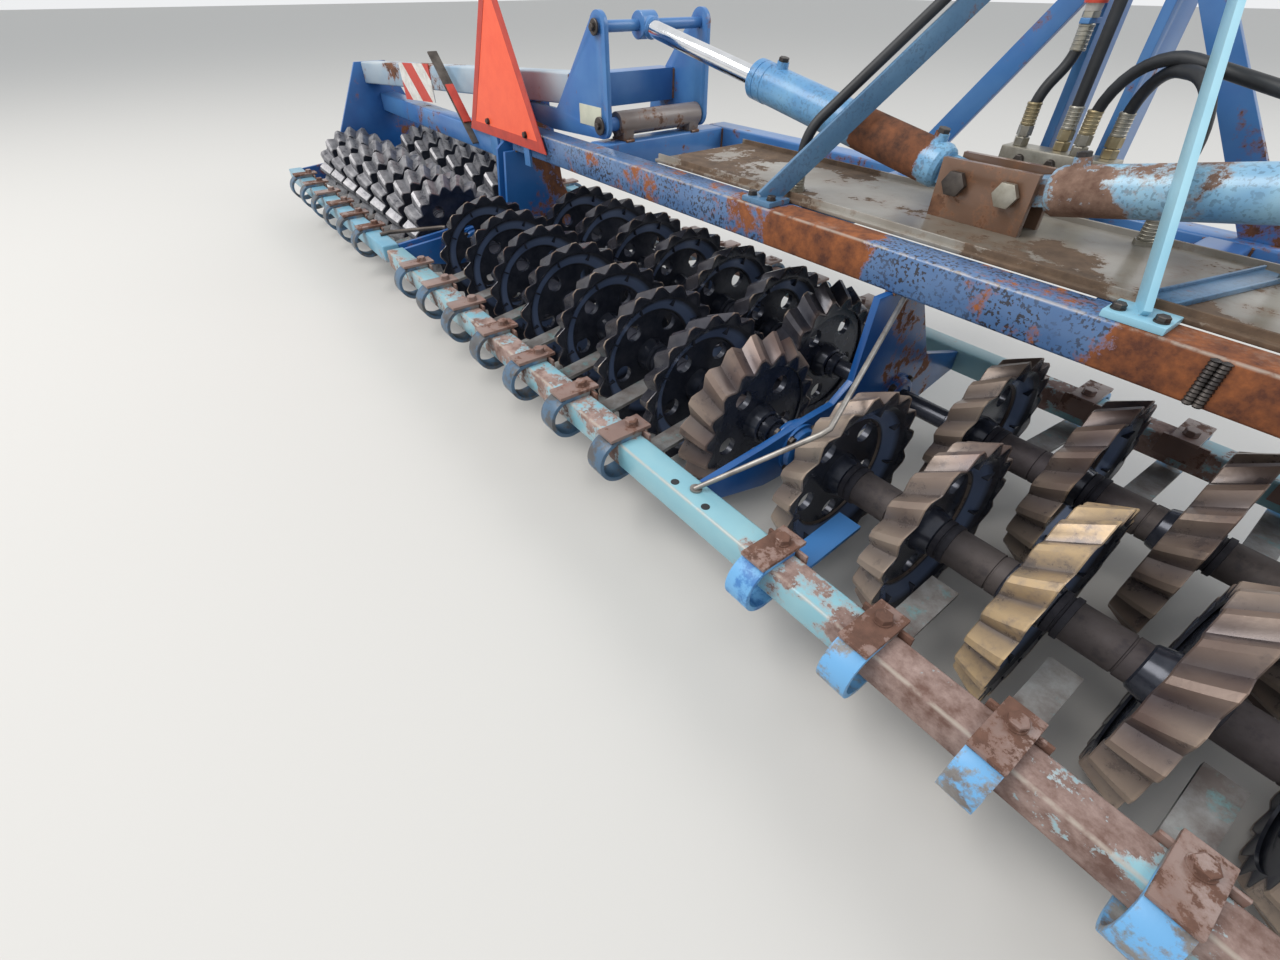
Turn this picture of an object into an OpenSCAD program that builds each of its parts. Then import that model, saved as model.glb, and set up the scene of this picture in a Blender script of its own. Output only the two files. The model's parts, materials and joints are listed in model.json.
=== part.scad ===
// Folding double-row ring press: a middle section and two wings on toothed cast rings.
// Frame: X across the machine, +Y the way it is pulled, +Z up, origin on the ground in the middle.

/* [Press rings] */
// Diameter over the tooth tips
ring_d = 400; // [390:1:404]
// Width of the toothed rim
ring_w = 84; // [70:1:86]
// Distance from ring to ring along a shaft
ring_pitch = 200; // [198:1:202]
// Number of teeth round a ring
ring_teeth = 18; // [16:1:20]
// Depth of a tooth
tooth_depth = 19; // [14:1:22]
// How much smaller the rim's radius is on its small side
rim_drop = 26; // [18:1:30]
// Radial thickness of the rim under the teeth
rim_wall = 15; // [12:1:18]
// Turn of a tooth across the rim, in degrees
tooth_slant = 8; // [0:1:9]
// Thickness of the web between hub and rim
web_t = 14; // [10:1:18]
// Radius of the holes in the web
web_hole_r = 23; // [18:1:25]
// Number of holes in the web
web_holes = 5; // [4:1:5]
// Diameter of the hub boss
hub_d = 88; // [80:1:94]
// Length of the hub boss
hub_len = 76; // [60:1:84]
// Diameter of the spacer tube between two rings
spacer_d = 66; // [60:1:72]

/* [Shafts] */
// Diameter of a roller shaft
shaft_d = 45; // [40:1:48]
// Distance between the rear and the front row
row_gap = 350; // [348:1:360]
// Radial running clearance of a shaft or pin in its bore
fit = 0.05; // [0.03:0.01:0.08]
// Outer diameter of a bearing housing
bearing_d = 110; // [96:1:120]
// Length of a bearing housing, outside its plate
bearing_len = 22; // [16:1:26]
// Length of the collar that holds the outermost rings
collar_w = 24; // [18:1:28]

/* [Sections] */
// Rings of a rear row on each side of the middle plate
mid_rings = 8; // [8:1:8]
// Rings of a rear row on a wing
wing_rings = 7; // [6:1:8]
// Distance from a side plate to the nearest ring of the rear row
end_gap = 115; // [112:1:120]
// Gap between the middle section and a wing, plate to plate
wing_gap = 60; // [56:1:70]
// Thickness of a side plate
plate_t = 16; // [12:1:20]

/* [Beams] */
// Side of the square cross beams
beam = 80; // [76:1:84]
// Height of the beams' top over the ground
beam_top = 565; // [560:1:566]
// Rear face of the rear beam, forward of the middle of the two rows
rear_beam_y = 40; // [30:1:50]
// Rear face of the front beam
front_beam_y = 640; // [630:1:660]
// Thickness of the deck plate
deck_t = 8; // [6:1:9]
// Half the width of the deck
deck_half = 880; // [850:1:884]

/* [Wing frame] */
// Side of the wing's main beam
wing_beam = 90; // [80:1:94]
// Height of the main beam's top at its inner end
wing_beam_top = 738; // [734:1:740]
// Place of the main beam's middle, forward, at its inner end
wing_beam_y0 = 220; // [216:1:224]
// The same at its outer end, where it runs back and down
wing_beam_y1 = 25; // [20:1:30]
// How much lower the main beam's outer end is
wing_drop = 83; // [78:1:86]
// Width of the tie box between the two lever plates
tie_w = 80; // [60:1:84]
// Distance of the hinge pin from the middle of the machine
hinge_x = 1190; // [1184:1:1196]
// Height of the hinge pin
hinge_z = 612; // [611:1:616]
// Diameter of the hinge tube
hinge_tube_d = 70; // [60:1:74]
// Diameter of the hinge pin
hinge_pin_d = 40; // [32:1:44]
// Rear end of the hinge tube
hinge_y0 = 200; // [194:1:206]
// Front end of the hinge tube
hinge_y1 = 540; // [534:1:544]
// Rear face of the rear lever plate
lever_y0 = 145; // [142:1:146]
// Height of the lever pin over the hinge pin
lever_h = 252; // [246:1:258]
// Outboard set of the lever pin from the hinge pin
lever_set = 10; // [6:1:14]
// Thickness of a lever plate
lever_t = 15; // [12:1:16]

/* [Fold cylinders] */
// Outer diameter of the barrel
barrel_d = 90; // [84:1:94]
// Length from the anchor pin to the barrel's mouth
barrel_len = 660; // [640:1:680]
// Diameter of the rod
rod_d = 45; // [40:1:50]
// Diameter of the cylinder pins
cyl_pin_d = 30; // [25:1:32]
// Height of the anchor pins
anchor_z = 645; // [642:1:650]
// Distance of an anchor pin from the middle
anchor_x = 55; // [52:1:60]
// Gap between the two anchor plates
anchor_gap = 64; // [60:1:70]
// Forward place of both cylinders
anchor_y = 325; // [320:1:330]

/* [Scrapers] */
// Side of the scraper bar
bar = 60; // [56:1:64]
// Distance of the scraper bar from the roller's shaft
bar_set = 300; // [296:1:310]
// Height of the scraper bar's middle over the ground
bar_z = 200; // [196:1:204]
// Width of a scraper leaf
leaf_w = 50; // [44:1:54]
// Thickness of a scraper leaf
leaf_t = 9; // [8:1:10]
// Inside radius of the leaf's spring loop
loop_r = 52; // [50:1:54]

/* [Headstock] */
// Height of the top of the mast
mast_z = 1235; // [1210:5:1260]
// Forward place of the mast's top
mast_y = 710; // [700:1:720]
// Half the distance between the lower hitch pins
hitch_half = 412; // [410:1:414]
// Height of the lower hitch pins
hitch_z = 520; // [515:1:525]
// Radius of the lower hitch pins' holes
hitch_r = 14.2; // [14.1:0.05:14.3]
// Radius of the top link's pin hole
toplink_r = 12.8; // [12.7:0.05:13]
// Half the distance between the feet of the two stays
stay_half = 400; // [390:5:410]
// Width of a stay
stay_w = 50; // [40:1:60]
// Thickness of a stay
stay_t = 12; // [10:1:14]

/* [Signs and hoses] */
// Side of the slow-vehicle triangle
triangle = 600; // [560:5:610]
// Outer diameter of the hoses
hose_d = 24; // [20:1:26]

/* [Hidden] */

paint = [0.16, 0.38, 0.68];
rust = [0.45, 0.22, 0.12];
cast = [0.16, 0.15, 0.15];
steel = [0.72, 0.74, 0.76];

ring_r = ring_d / 2;
// Every ring rests on two teeth, with the gap between them pointing down
rest_turn = 180 / ring_teeth;
axle_z = ring_r * cos(rest_turn);
row_y = row_gap / 2;
shaft_r = shaft_d / 2;
bore_r = shaft_r + fit;
// Plates of the middle section and of a wing, from the middle outwards
mid_end_x = 2 * end_gap + (mid_rings - 1) * ring_pitch;
wing_in_x = mid_end_x + wing_gap;
wing_out_x = wing_in_x + 2 * end_gap + (wing_rings - 1) * ring_pitch;
beam_low = beam_top - beam;
deck_y0 = rear_beam_y + beam;
wing_rear_top = beam_top - 45;
lever_x = hinge_x + lever_set;
lever_z = hinge_z + lever_h;
lever_y1 = hinge_y1 + 5;
lever_pin_d = cyl_pin_d;
bar_y = row_y + bar_set;

// The origin lies under the middle of the whole machine, so all of it is shifted back by this
hitch_reach = 110;
mid_y = (front_beam_y + beam + hitch_reach - (bar_y + bar / 2 - 2 + loop_r)) / 2;
module placed() { translate([0, -mid_y, 0]) children(); }

// One cast ring along Z: the rim's big side at z = 0, its small side at z = ring_w
function outline(r, turn) = [for (j = [0:2 * ring_teeth - 1])
    let (a = j * 180 / ring_teeth + turn, q = j % 2 == 0 ? r : r - tooth_depth)
    [q * cos(a), q * sin(a)]];
function inside(r, turn) = [for (k = [0:ring_teeth - 1])
    let (a = k * 360 / ring_teeth + turn) [r * cos(a), r * sin(a)]];
function lift(points, z) = [for (p = points) [p[0], p[1], z]];

module rim() {
    n = ring_teeth;
    m = 2 * n;
    big_in = ring_r - tooth_depth - rim_wall;
    points = concat(
        lift(outline(ring_r, 0), 0),
        lift(outline(ring_r - rim_drop, tooth_slant), ring_w),
        lift(inside(big_in, 0), 0),
        lift(inside(big_in - rim_drop, tooth_slant), ring_w));
    // First point of the small outline, the big inner edge and the small inner edge
    s = m;
    a = 2 * m;
    b = 2 * m + n;
    faces = concat(
        [for (j = [0:m - 1]) [j, s + j, s + (j + 1) % m]],
        [for (j = [0:m - 1]) [j, s + (j + 1) % m, (j + 1) % m]],
        [for (k = [0:n - 1]) [a + k, a + (k + 1) % n, b + (k + 1) % n]],
        [for (k = [0:n - 1]) [a + k, b + (k + 1) % n, b + k]],
        [for (k = [0:n - 1]) [a + k, 2 * k, 2 * k + 1]],
        [for (k = [0:n - 1]) [a + k, 2 * k + 1, a + (k + 1) % n]],
        [for (k = [0:n - 1]) [2 * k + 1, (2 * k + 2) % m, a + (k + 1) % n]],
        [for (k = [0:n - 1]) [b + k, s + 2 * k + 1, s + 2 * k]],
        [for (k = [0:n - 1]) [b + k, b + (k + 1) % n, s + 2 * k + 1]],
        [for (k = [0:n - 1]) [s + 2 * k + 1, b + (k + 1) % n, s + (2 * k + 2) % m]]);
    polyhedron(points = points, faces = faces, convexity = 8);
}

module wheel_centre() {
    web_r = ring_r - tooth_depth - rim_wall - rim_drop / 2 + 5;
    hole_at = (web_r + hub_d / 2) / 2;
    difference() {
        union() {
            translate([0, 0, (ring_w - web_t) / 2])
                linear_extrude(web_t) difference() {
                    circle(web_r, $fn = 72);
                    for (k = [0:web_holes - 1])
                        rotate(360 * k / web_holes)
                            translate([hole_at, 0]) circle(web_hole_r, $fn = 32);
                }
            translate([0, 0, (ring_w - hub_len) / 2]) cylinder(d = hub_d, h = hub_len, $fn = 48);
        }
        translate([0, 0, -ring_pitch]) cylinder(r = bore_r, h = 3 * ring_pitch, $fn = 48);
    }
}

// A ring on its shaft along X, with its big side towards +X or -X
module press_ring(facing) {
    rotate([0, -90 * facing, 0]) translate([0, 0, -ring_w / 2]) rotate(rest_turn) {
        rim();
        wheel_centre();
    }
}

// Rings from first_x on; the one numbered turned faces the other way
module roller(first_x, count, y, low_x, high_x, facing, turned) {
    seat = hub_len / 2 + 0.3;
    color(cast) translate([0, y, axle_z]) {
        for (i = [0:count - 1])
            translate([first_x + i * ring_pitch, 0, 0])
                press_ring(i == turned ? -facing : facing);
        translate([low_x, 0, 0]) rotate([0, 90, 0])
            cylinder(r = shaft_r, h = high_x - low_x, $fn = 48);
        for (i = [0:count - 2])
            translate([first_x + i * ring_pitch + seat, 0, 0]) rotate([0, 90, 0])
                cylinder(d = spacer_d, h = ring_pitch - 2 * seat, $fn = 48);
        for (x = [first_x - seat - collar_w, first_x + (count - 1) * ring_pitch + seat])
            translate([x, 0, 0]) rotate([0, 90, 0])
                cylinder(d = spacer_d, h = collar_w, $fn = 48);
    }
}

// The two rows of a section between two plates; side is -1 on the left and 1 on the right
module section_row(side, inner, rings, front, facing, turned) {
    offset_x = front ? ring_pitch / 2 : 0;
    count = front ? rings - 1 : rings;
    first = inner + end_gap + offset_x;
    last = first + (count - 1) * ring_pitch;
    outer = inner + 2 * end_gap + (rings - 1) * ring_pitch;
    low = inner == 0 ? 3 : inner - plate_t / 2 + 2;
    high = outer + plate_t / 2 - 2;
    y = front ? row_y : -row_y;
    if (side > 0) roller(first, count, y, low, high, facing, turned);
    else roller(-last, count, y, -high, -low, facing, turned < 0 ? -1 : count - 1 - turned);
}

// Plate outline in the Y-Z plane; foot reaches back and forward to the scraper bars
module plate_outline(top, top_y0, top_y1) {
    arm = bar_y - bar / 2;
    polygon([
        [-arm, bar_z - 25], [-row_y - 90, bar_z - 70], [row_y + 90, bar_z - 70],
        [arm, bar_z - 25], [arm, bar_z + 25], [row_y + 100, bar_z + 75],
        [top_y1, top], [top_y0, top], [-row_y - 60, bar_z + 110],
        [-row_y - 100, bar_z + 40], [-arm, bar_z + 25]]);
}

module side_plate(x, top, top_y0, top_y1, in_len, out_len, step) {
    difference() {
        translate([x, 0, 0]) {
            translate([-plate_t / 2, 0, 0]) rotate([90, 0, 90])
                linear_extrude(plate_t) difference() {
                    union() {
                        plate_outline(top, top_y0, top_y1);
                        if (step > 0) polygon([[-row_y - 60, bar_z + 110],
                            [rear_beam_y + 20, step], [deck_y0 + 12, step],
                            [top_y0, top], [top_y0, bar_z + 110]]);
                    }
                    if (step > 0) translate([-2 * row_y, step - 20])
                        square([2 * row_y + rear_beam_y - 6, beam_top]);
                }
            for (y = [-row_y, row_y])
                translate([-plate_t / 2 - in_len, y, axle_z]) rotate([0, 90, 0])
                    cylinder(d = bearing_d, h = plate_t + in_len + out_len, $fn = 48);
        }
        for (y = [-row_y, row_y])
            translate([x - 100, y, axle_z]) rotate([0, 90, 0])
                cylinder(r = bore_r, h = 200, $fn = 48);
    }
}

module side_plates() {
    color(paint) {
        side_plate(0, beam_low, rear_beam_y - 40, deck_y0 + 30, bearing_len, bearing_len, 0);
        for (side = [-1, 1])
            side_plate(side * mid_end_x, beam_low, rear_beam_y - 40, deck_y0 + 30,
                side > 0 ? bearing_len : 0, side > 0 ? 0 : bearing_len, 0);
    }
}

module rear_beam() {
    color(paint) translate([-mid_end_x - plate_t / 2, rear_beam_y, beam_low])
        cube([2 * mid_end_x + plate_t, beam, beam]);
}

module front_beam() {
    half = hinge_x + beam / 2;
    color(paint) translate([-half, front_beam_y, beam_low]) cube([2 * half, beam, beam]);
}

// Middle of each cross beam, from the middle outwards
cross_x = [stay_half - 40, hinge_x];
module cross_beams() {
    color(paint) for (side = [-1, 1], x = cross_x)
        translate([side * x - beam / 2, deck_y0, beam_low])
            cube([beam, front_beam_y - deck_y0, beam]);
}

module deck_plates() {
    deck_y1 = front_beam_y - 150;
    color(rust) translate([-deck_half, deck_y0, beam_top]) {
        cube([2 * deck_half, deck_y1 - deck_y0, deck_t]);
        for (y = [12, deck_y1 - deck_y0 - 18])
            translate([0, y, deck_t]) cube([2 * deck_half, 6, 12]);
    }
}

// Two uprights in the Y-Z plane with a tie and two braces, and the lower hitch pins' ears
mast_half = 0.75 * beam;
upright_t = beam / 4;
ear_t = beam / 4;
ear_gap = 70;
// Place of the bracket that the spare coupler is parked on
park_y = front_beam_y - 20;
park_z = beam_top + 335;
module headstock() {
    tie = 2 * mast_half - upright_t - 0.4;
    side_x = mast_half + upright_t / 2;
    brace_z = mast_z - 216;
    color(paint) difference() {
        union() {
            for (side = [-1, 1]) translate([side * mast_half - upright_t / 2, 0, 0])
                rotate([90, 0, 90]) linear_extrude(upright_t) polygon([
                    [front_beam_y, beam_top], [front_beam_y + beam + 60, beam_top],
                    [mast_y + 60, mast_z], [mast_y + 30, mast_z + 40],
                    [mast_y - 30, mast_z + 40], [mast_y - 45, mast_z]]);
            translate([-tie / 2, mast_y - 40, mast_z - 190]) cube([tie, 16, 110]);
            translate([-side_x, park_y - 20, park_z]) cube([upright_t, 90, 10]);
            for (side = [-1, 1]) mirror([side < 0 ? 1 : 0, 0, 0])
                translate([0, front_beam_y + 46, 0]) rotate([90, 0, 0]) linear_extrude(16)
                    polygon([[stay_half - 36, beam_top], [stay_half + 40, beam_top],
                        [side_x - 1, brace_z + 38], [side_x - 1, brace_z - 38]]);
            for (side = [-1, 1], e = [-1, 1])
                translate([side * hitch_half + e * (ear_gap + ear_t) / 2 - ear_t / 2,
                    front_beam_y + beam, beam_low - 20]) cube([ear_t, hitch_reach, beam + 20]);
        }
        translate([-200, mast_y, mast_z]) rotate([0, 90, 0])
            cylinder(r = toplink_r, h = 400, $fn = 40);
        translate([-600, front_beam_y + beam + 62, hitch_z]) rotate([0, 90, 0])
            cylinder(r = hitch_r, h = 1200, $fn = 40);
    }
}

// Foot and head of the right stay's middle line
stay_foot = [stay_half, rear_beam_y + beam / 2, beam_top + 6];
stay_head = [mast_half + 34, mast_y - 10, mast_z - 30];
module mast_stays() {
    run = stay_head - stay_foot;
    flat = sqrt(run[0] * run[0] + run[1] * run[1]);
    color(paint) for (side = [-1, 1]) mirror([side < 0 ? 1 : 0, 0, 0]) {
        difference() {
            translate(stay_foot) rotate([0, -atan2(run[2], flat), atan2(run[1], run[0])])
                translate([-40, -stay_t / 2, -stay_w / 2]) cube([norm(run) + 40, stay_t, stay_w]);
            translate([0, -100, beam_top - 200]) cube([800, 400, 200]);
        }
        translate([stay_half - 45, rear_beam_y + 5, beam_top]) cube([90, beam - 10, 12]);
        translate([mast_half + 10, mast_y - 30, mast_z - 60]) cube([30, 40, 40]);
    }
}

module cylinder_anchor() {
    color(rust) difference() {
        for (y = [anchor_y - anchor_gap / 2 - 14, anchor_y + anchor_gap / 2])
            translate([-anchor_x - 45, y, beam_top + deck_t])
                cube([2 * anchor_x + 90, 14, anchor_z - beam_top - deck_t + 42]);
        for (side = [-1, 1]) translate([side * anchor_x, anchor_y - 100, anchor_z])
            rotate([-90, 0, 0]) cylinder(d = cyl_pin_d + 2 * fit, h = 200, $fn = 40);
    }
}

module hinge_tubes() {
    color(steel) for (side = [-1, 1]) difference() {
        union() {
            translate([side * hinge_x, hinge_y0, hinge_z]) rotate([-90, 0, 0])
                cylinder(d = hinge_tube_d, h = hinge_y1 - hinge_y0, $fn = 48);
            for (y = [hinge_y0 + 10, hinge_y1 - 50]) translate([side * hinge_x - 30, y, beam_top])
                cube([60, 40, hinge_z - beam_top]);
        }
        translate([side * hinge_x, 0, hinge_z]) rotate([-90, 0, 0])
            cylinder(d = hinge_pin_d + 2 * fit, h = 900, $fn = 48);
    }
}

module scraper_bar(x0, x1, y) {
    translate([x0, y - bar / 2, bar_z - bar / 2]) cube([x1 - x0, bar, bar]);
}

module scraper_bars_middle() {
    color(rust) for (y = [-bar_y, bar_y])
        scraper_bar(-mid_end_x - plate_t / 2, mid_end_x + plate_t / 2, y);
}

// A spring leaf: strap on the bar's top, loop round the outside, tongue up into the ring gap
module leaf() {
    top = bar / 2 + leaf_t / 2 + 0.3;
    mid_r = loop_r - leaf_t / 2;
    low = top - 2 * mid_r;
    tip_y = -bar_set + 75;
    rise = 36;
    translate([-leaf_w / 2, 0, 0]) rotate([90, 0, 90]) linear_extrude(leaf_w) {
        translate([-bar / 2 + 2, top - leaf_t / 2]) square([bar - 4, leaf_t]);
        translate([bar / 2 - 2, top - mid_r]) intersection() {
            difference() {
                circle(mid_r + leaf_t / 2, $fn = 64);
                circle(mid_r - leaf_t / 2, $fn = 64);
            }
            translate([0, -2 * loop_r]) square([2 * loop_r, 4 * loop_r]);
        }
        polygon([[bar / 2 - 1.5, low - leaf_t / 2], [bar / 2 - 1.5, low + leaf_t / 2],
            [tip_y, low + leaf_t / 2 + rise], [tip_y, low - leaf_t / 2 + rise]]);
    }
}

// Leaves of one row; out is -1 behind the machine and 1 in front of it
module leaves(first, count, out) {
    for (i = [0:count - 1]) translate([first + i * ring_pitch, out * bar_y, bar_z])
        rotate(out < 0 ? 180 : 0) leaf();
}

module scrapers_middle_rear() {
    first = end_gap + ring_pitch / 2;
    color(rust) for (side = [-1, 1]) mirror([side < 0 ? 1 : 0, 0, 0])
        leaves(first, mid_rings - 1, -1);
}

module scrapers_middle_front() {
    first = end_gap + ring_pitch;
    color(rust) for (side = [-1, 1]) mirror([side < 0 ? 1 : 0, 0, 0])
        leaves(first, mid_rings - 2, 1);
}

// Valve block on two legs, with one stub for each hose
block_y = 560;
block_top = beam_top + 110;
// Place of each stub on the block: x, then y
stubs = [[-90, block_y + 24], [-8, block_y + 42], [40, block_y + 18], [92, block_y + 42]];
module hose_block() {
    color(steel) {
        translate([-120, block_y, block_top - 45]) cube([240, 60, 45]);
        for (x = [-110, 80]) translate([x, block_y + 15, beam_low + 30])
            cube([30, 30, block_top - beam_low - 75]);
        translate([-120, block_y + 15, beam_low]) cube([240, front_beam_y - block_y - 15, 30]);
        for (p = stubs) translate([p[0], p[1], block_top])
            cylinder(d = hose_d + 8, h = 42, $fn = 32);
        translate([-mast_half, park_y, park_z + 10]) {
            cylinder(d = 34, h = 60, $fn = 32);
            translate([0, 0, 22]) cylinder(d = 46, h = 46, $fn = 32);
        }
    }
}

function unit(v) = v / norm(v);
// An arc of radius r in place of the corner at p, between the ways to a and to b
function corner(a, p, b, r) = let (u = unit(a - p), v = unit(b - p), half = acos(u * v) / 2,
    sweep = 180 - 2 * half, centre = p + unit(u + v) * r / sin(half),
    from = p + u * r / tan(half) - centre, to = p + v * r / tan(half) - centre)
    [for (k = [0:6]) centre
        + (sin((1 - k / 6) * sweep) * from + sin(k / 6 * sweep) * to) / sin(sweep)];
// Corner points with their radii, made into a route of straights and arcs
function rounded(p, r) = let (n = len(p)) concat([p[0]],
    [for (i = [1:n - 2]) each corner(p[i - 1], p[i], p[i + 1], r[i - 1])], [p[n - 1]]);
hose_sides = 8;
module tube(p, d) {
    n = len(p);
    rings = [for (i = [0:n - 1])
        let (t = unit(p[min(i + 1, n - 1)] - p[max(i - 1, 0)]),
            u = unit(cross(t, abs(t[1]) < 0.9 ? [0, 1, 0] : [1, 0, 0])), v = cross(t, u))
        for (k = [0:hose_sides - 1]) let (a = 360 * k / hose_sides)
            p[i] + d / 2 * (cos(a) * u + sin(a) * v)];
    m = hose_sides;
    polyhedron(points = rings, convexity = 8, faces = concat(
        [[for (k = [0:m - 1]) k]], [[for (k = [0:m - 1]) n * m - 1 - k]],
        [for (i = [0:n - 2], k = [0:m - 1]) let (o = i * m, q = (k + 1) % m) [o + k, o + m + q, o + q]],
        [for (i = [0:n - 2], k = [0:m - 1]) let (o = i * m, q = (k + 1) % m)
            [o + k, o + m + k, o + m + q]]));
}

// Routes from a stub of the block: to the parked coupler, down a stay, and twice down to the deck.
// No bend is tighter than four hose diameters.
stub_top = block_top + 42;
deck_top = beam_top + deck_t;
bend = 4.4 * hose_d;
function over(i, z) = concat(stubs[i], z);
// A point above the left stay's middle line
function on_stay(t, above) = let (p = stay_foot + t * (stay_head - stay_foot))
    [-p[0], p[1], p[2] + above];
stay_hose_x = -stay_half;
stay_hose_y = deck_y0 + 70;
routes = [
    rounded([over(0, stub_top + 0.3), over(0, stub_top + 58), [-mast_half, park_y, park_z - 58],
        [-mast_half, park_y, park_z - 0.3]], [bend, bend]),
    rounded([over(1, stub_top + 0.3), over(1, stay_head[2]), on_stay(0.55, 2.6 * hose_d),
        [stay_hose_x, stay_hose_y, deck_top + 127], [stay_hose_x, stay_hose_y, deck_top + 0.3]],
        [bend, 2 * bend, bend]),
    rounded([over(2, stub_top + 0.3), over(2, stub_top + 165), [500, 430, deck_top + 230],
        [500, 430, deck_top + 0.3]], [1.2 * bend, 1.6 * bend]),
    rounded([over(3, stub_top + 0.3), over(3, stub_top + 125), [270, 440, deck_top + 269],
        [270, 440, deck_top + 0.3]], [bend, bend])];
module hoses() {
    color([0.05, 0.05, 0.05]) for (route = routes) tube(route, hose_d);
}

// The sign stands on a strip on the rear face of the left wing's rear beam
module slow_triangle() {
    h = triangle * sqrt(3) / 2;
    sign_x = -wing_in_x + 30;
    color("orangered") {
        translate([sign_x, rear_beam_y - 10, wing_rear_top - 5]) rotate([90, 0, 0])
            linear_extrude(3) polygon([[-triangle / 2, 0], [triangle / 2, 0], [0, h]]);
        translate([sign_x - 140, rear_beam_y - 10.5, wing_rear_top - 75]) cube([60, 10.5, 260]);
    }
}

// The wing's main beam starts at the tie box and runs outwards, back and down
tie_x = hinge_x + 130;
beam_x0 = tie_x + 10;
beam_run = wing_out_x - plate_t / 2 - beam_x0;
beam_flat = sqrt(beam_run * beam_run + pow(wing_beam_y0 - wing_beam_y1, 2));
beam_yaw = atan2(wing_beam_y1 - wing_beam_y0, beam_run);
beam_pitch = atan2(wing_drop, beam_flat);
module along_beam() {
    translate([beam_x0, wing_beam_y0, wing_beam_top - wing_beam / 2])
        rotate([0, beam_pitch, beam_yaw]) children();
}
// Underside of the main beam at a place along the machine's width
function beam_under(x) = wing_beam_top - wing_drop * (x - beam_x0) / beam_run - wing_beam - 1;
function beam_mid_y(x) = wing_beam_y0 + (wing_beam_y1 - wing_beam_y0) * (x - beam_x0) / beam_run;

module wing_beam_one() {
    x0 = tie_x + tie_w + 0.3;
    color(paint) intersection() {
        along_beam() translate([-50, -wing_beam / 2, -wing_beam / 2])
            cube([beam_run + 150, wing_beam, wing_beam]);
        translate([x0, -500, 300]) cube([wing_out_x - plate_t / 2 - 0.3 - x0, 1500, 800]);
    }
}

module wing_rear_beam_one() {
    color(paint) translate([wing_in_x + plate_t / 2, rear_beam_y, wing_rear_top - beam])
        cube([wing_out_x - wing_in_x - plate_t, beam, beam]);
}

module wing_plates_one() {
    mid_in = beam_mid_y(wing_in_x);
    color(paint) {
        side_plate(wing_in_x, beam_under(wing_in_x), mid_in - 56, mid_in + 56, 0, bearing_len,
            wing_rear_top + 12);
        side_plate(wing_out_x, wing_beam_top - wing_drop, wing_beam_y1 - 75,
            wing_beam_y1 + 80, bearing_len, 0, 0);
    }
}

// Two lever plates on the hinge pin, tied by a box that the main beam starts from.
// The lever pin is in two halves, with the rod's eye and its own pin between them.
eye_w = 60;
pin_gap = 2;
module lever_plate(y, strip) {
    low = hinge_z - 38;
    top = beam_under(wing_in_x) - 3;
    color(paint) translate([0, y + lever_t, 0]) rotate([90, 0, 0]) linear_extrude(lever_t)
        difference() {
            union() {
                polygon(concat(
                    [[hinge_x - 38, hinge_z], [lever_x - 40, lever_z],
                    [lever_x + 34, lever_z + 20], [tie_x + tie_w + 50, hinge_z + 36]],
                    strip ? [[tie_x + tie_w + 72, top], [wing_in_x - plate_t / 2, top],
                        [wing_in_x - plate_t / 2, low]] : [[tie_x + tie_w + 60, low]],
                    [[hinge_x + 310, low - 12], [hinge_x + 4, low]]));
                translate([hinge_x, hinge_z]) circle(38, $fn = 48);
                translate([lever_x, lever_z]) circle(40, $fn = 48);
            }
            translate([hinge_x, hinge_z]) circle(hinge_pin_d / 2 + fit, $fn = 48);
            translate([lever_x, lever_z]) circle(lever_pin_d / 2 + fit, $fn = 40);
        }
}

module wing_lever_one() {
    pin_y0 = lever_y0 - 8;
    pin_y1 = lever_y1 + lever_t + 8;
    near = anchor_y - eye_w / 2 - pin_gap;
    far = anchor_y + eye_w / 2 + pin_gap;
    lever_plate(lever_y0, true);
    lever_plate(lever_y1, false);
    color(paint) {
        translate([tie_x, lever_y0 + lever_t + 0.2, wing_beam_top - 98])
            cube([tie_w, lever_y1 - lever_y0 - lever_t - 0.4, 95]);
        translate([hinge_x, pin_y0, hinge_z]) rotate([-90, 0, 0])
            cylinder(d = hinge_pin_d, h = pin_y1 - pin_y0, $fn = 48);
        for (y = [[pin_y0, near], [far, pin_y1]])
            translate([lever_x, y[0], lever_z]) rotate([-90, 0, 0])
                cylinder(d = lever_pin_d, h = y[1] - y[0], $fn = 40);
    }
}

module scraper_bars_one() {
    color(rust) for (y = [-bar_y, bar_y])
        scraper_bar(wing_in_x - plate_t / 2, wing_out_x + plate_t / 2, y);
}

module scrapers_one() {
    color(rust) {
        leaves(wing_in_x + end_gap + ring_pitch / 2, wing_rings - 1, -1);
        leaves(wing_in_x + end_gap + ring_pitch, wing_rings - 2, 1);
    }
}

// A board on the rear face of the main beam, along it
module marker_one() {
    color("white") along_beam()
        translate([0.6 * beam_run, -wing_beam / 2 - 4.3, -wing_beam / 2 - 46]) cube([282, 4, 141]);
}

// Cylinder along its own axis from the anchor pin to the lever pin
cyl_run = [lever_x - anchor_x, lever_z - anchor_z];
cyl_len = norm(cyl_run);
cyl_tilt = atan2(cyl_run[1], cyl_run[0]);
// The rod's inner end when the wing is down; it runs 283 further in as the wing folds
rod_start = 480;
module along_cylinder() {
    translate([anchor_x, anchor_y, anchor_z]) rotate([0, -cyl_tilt, 0]) children();
}

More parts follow.
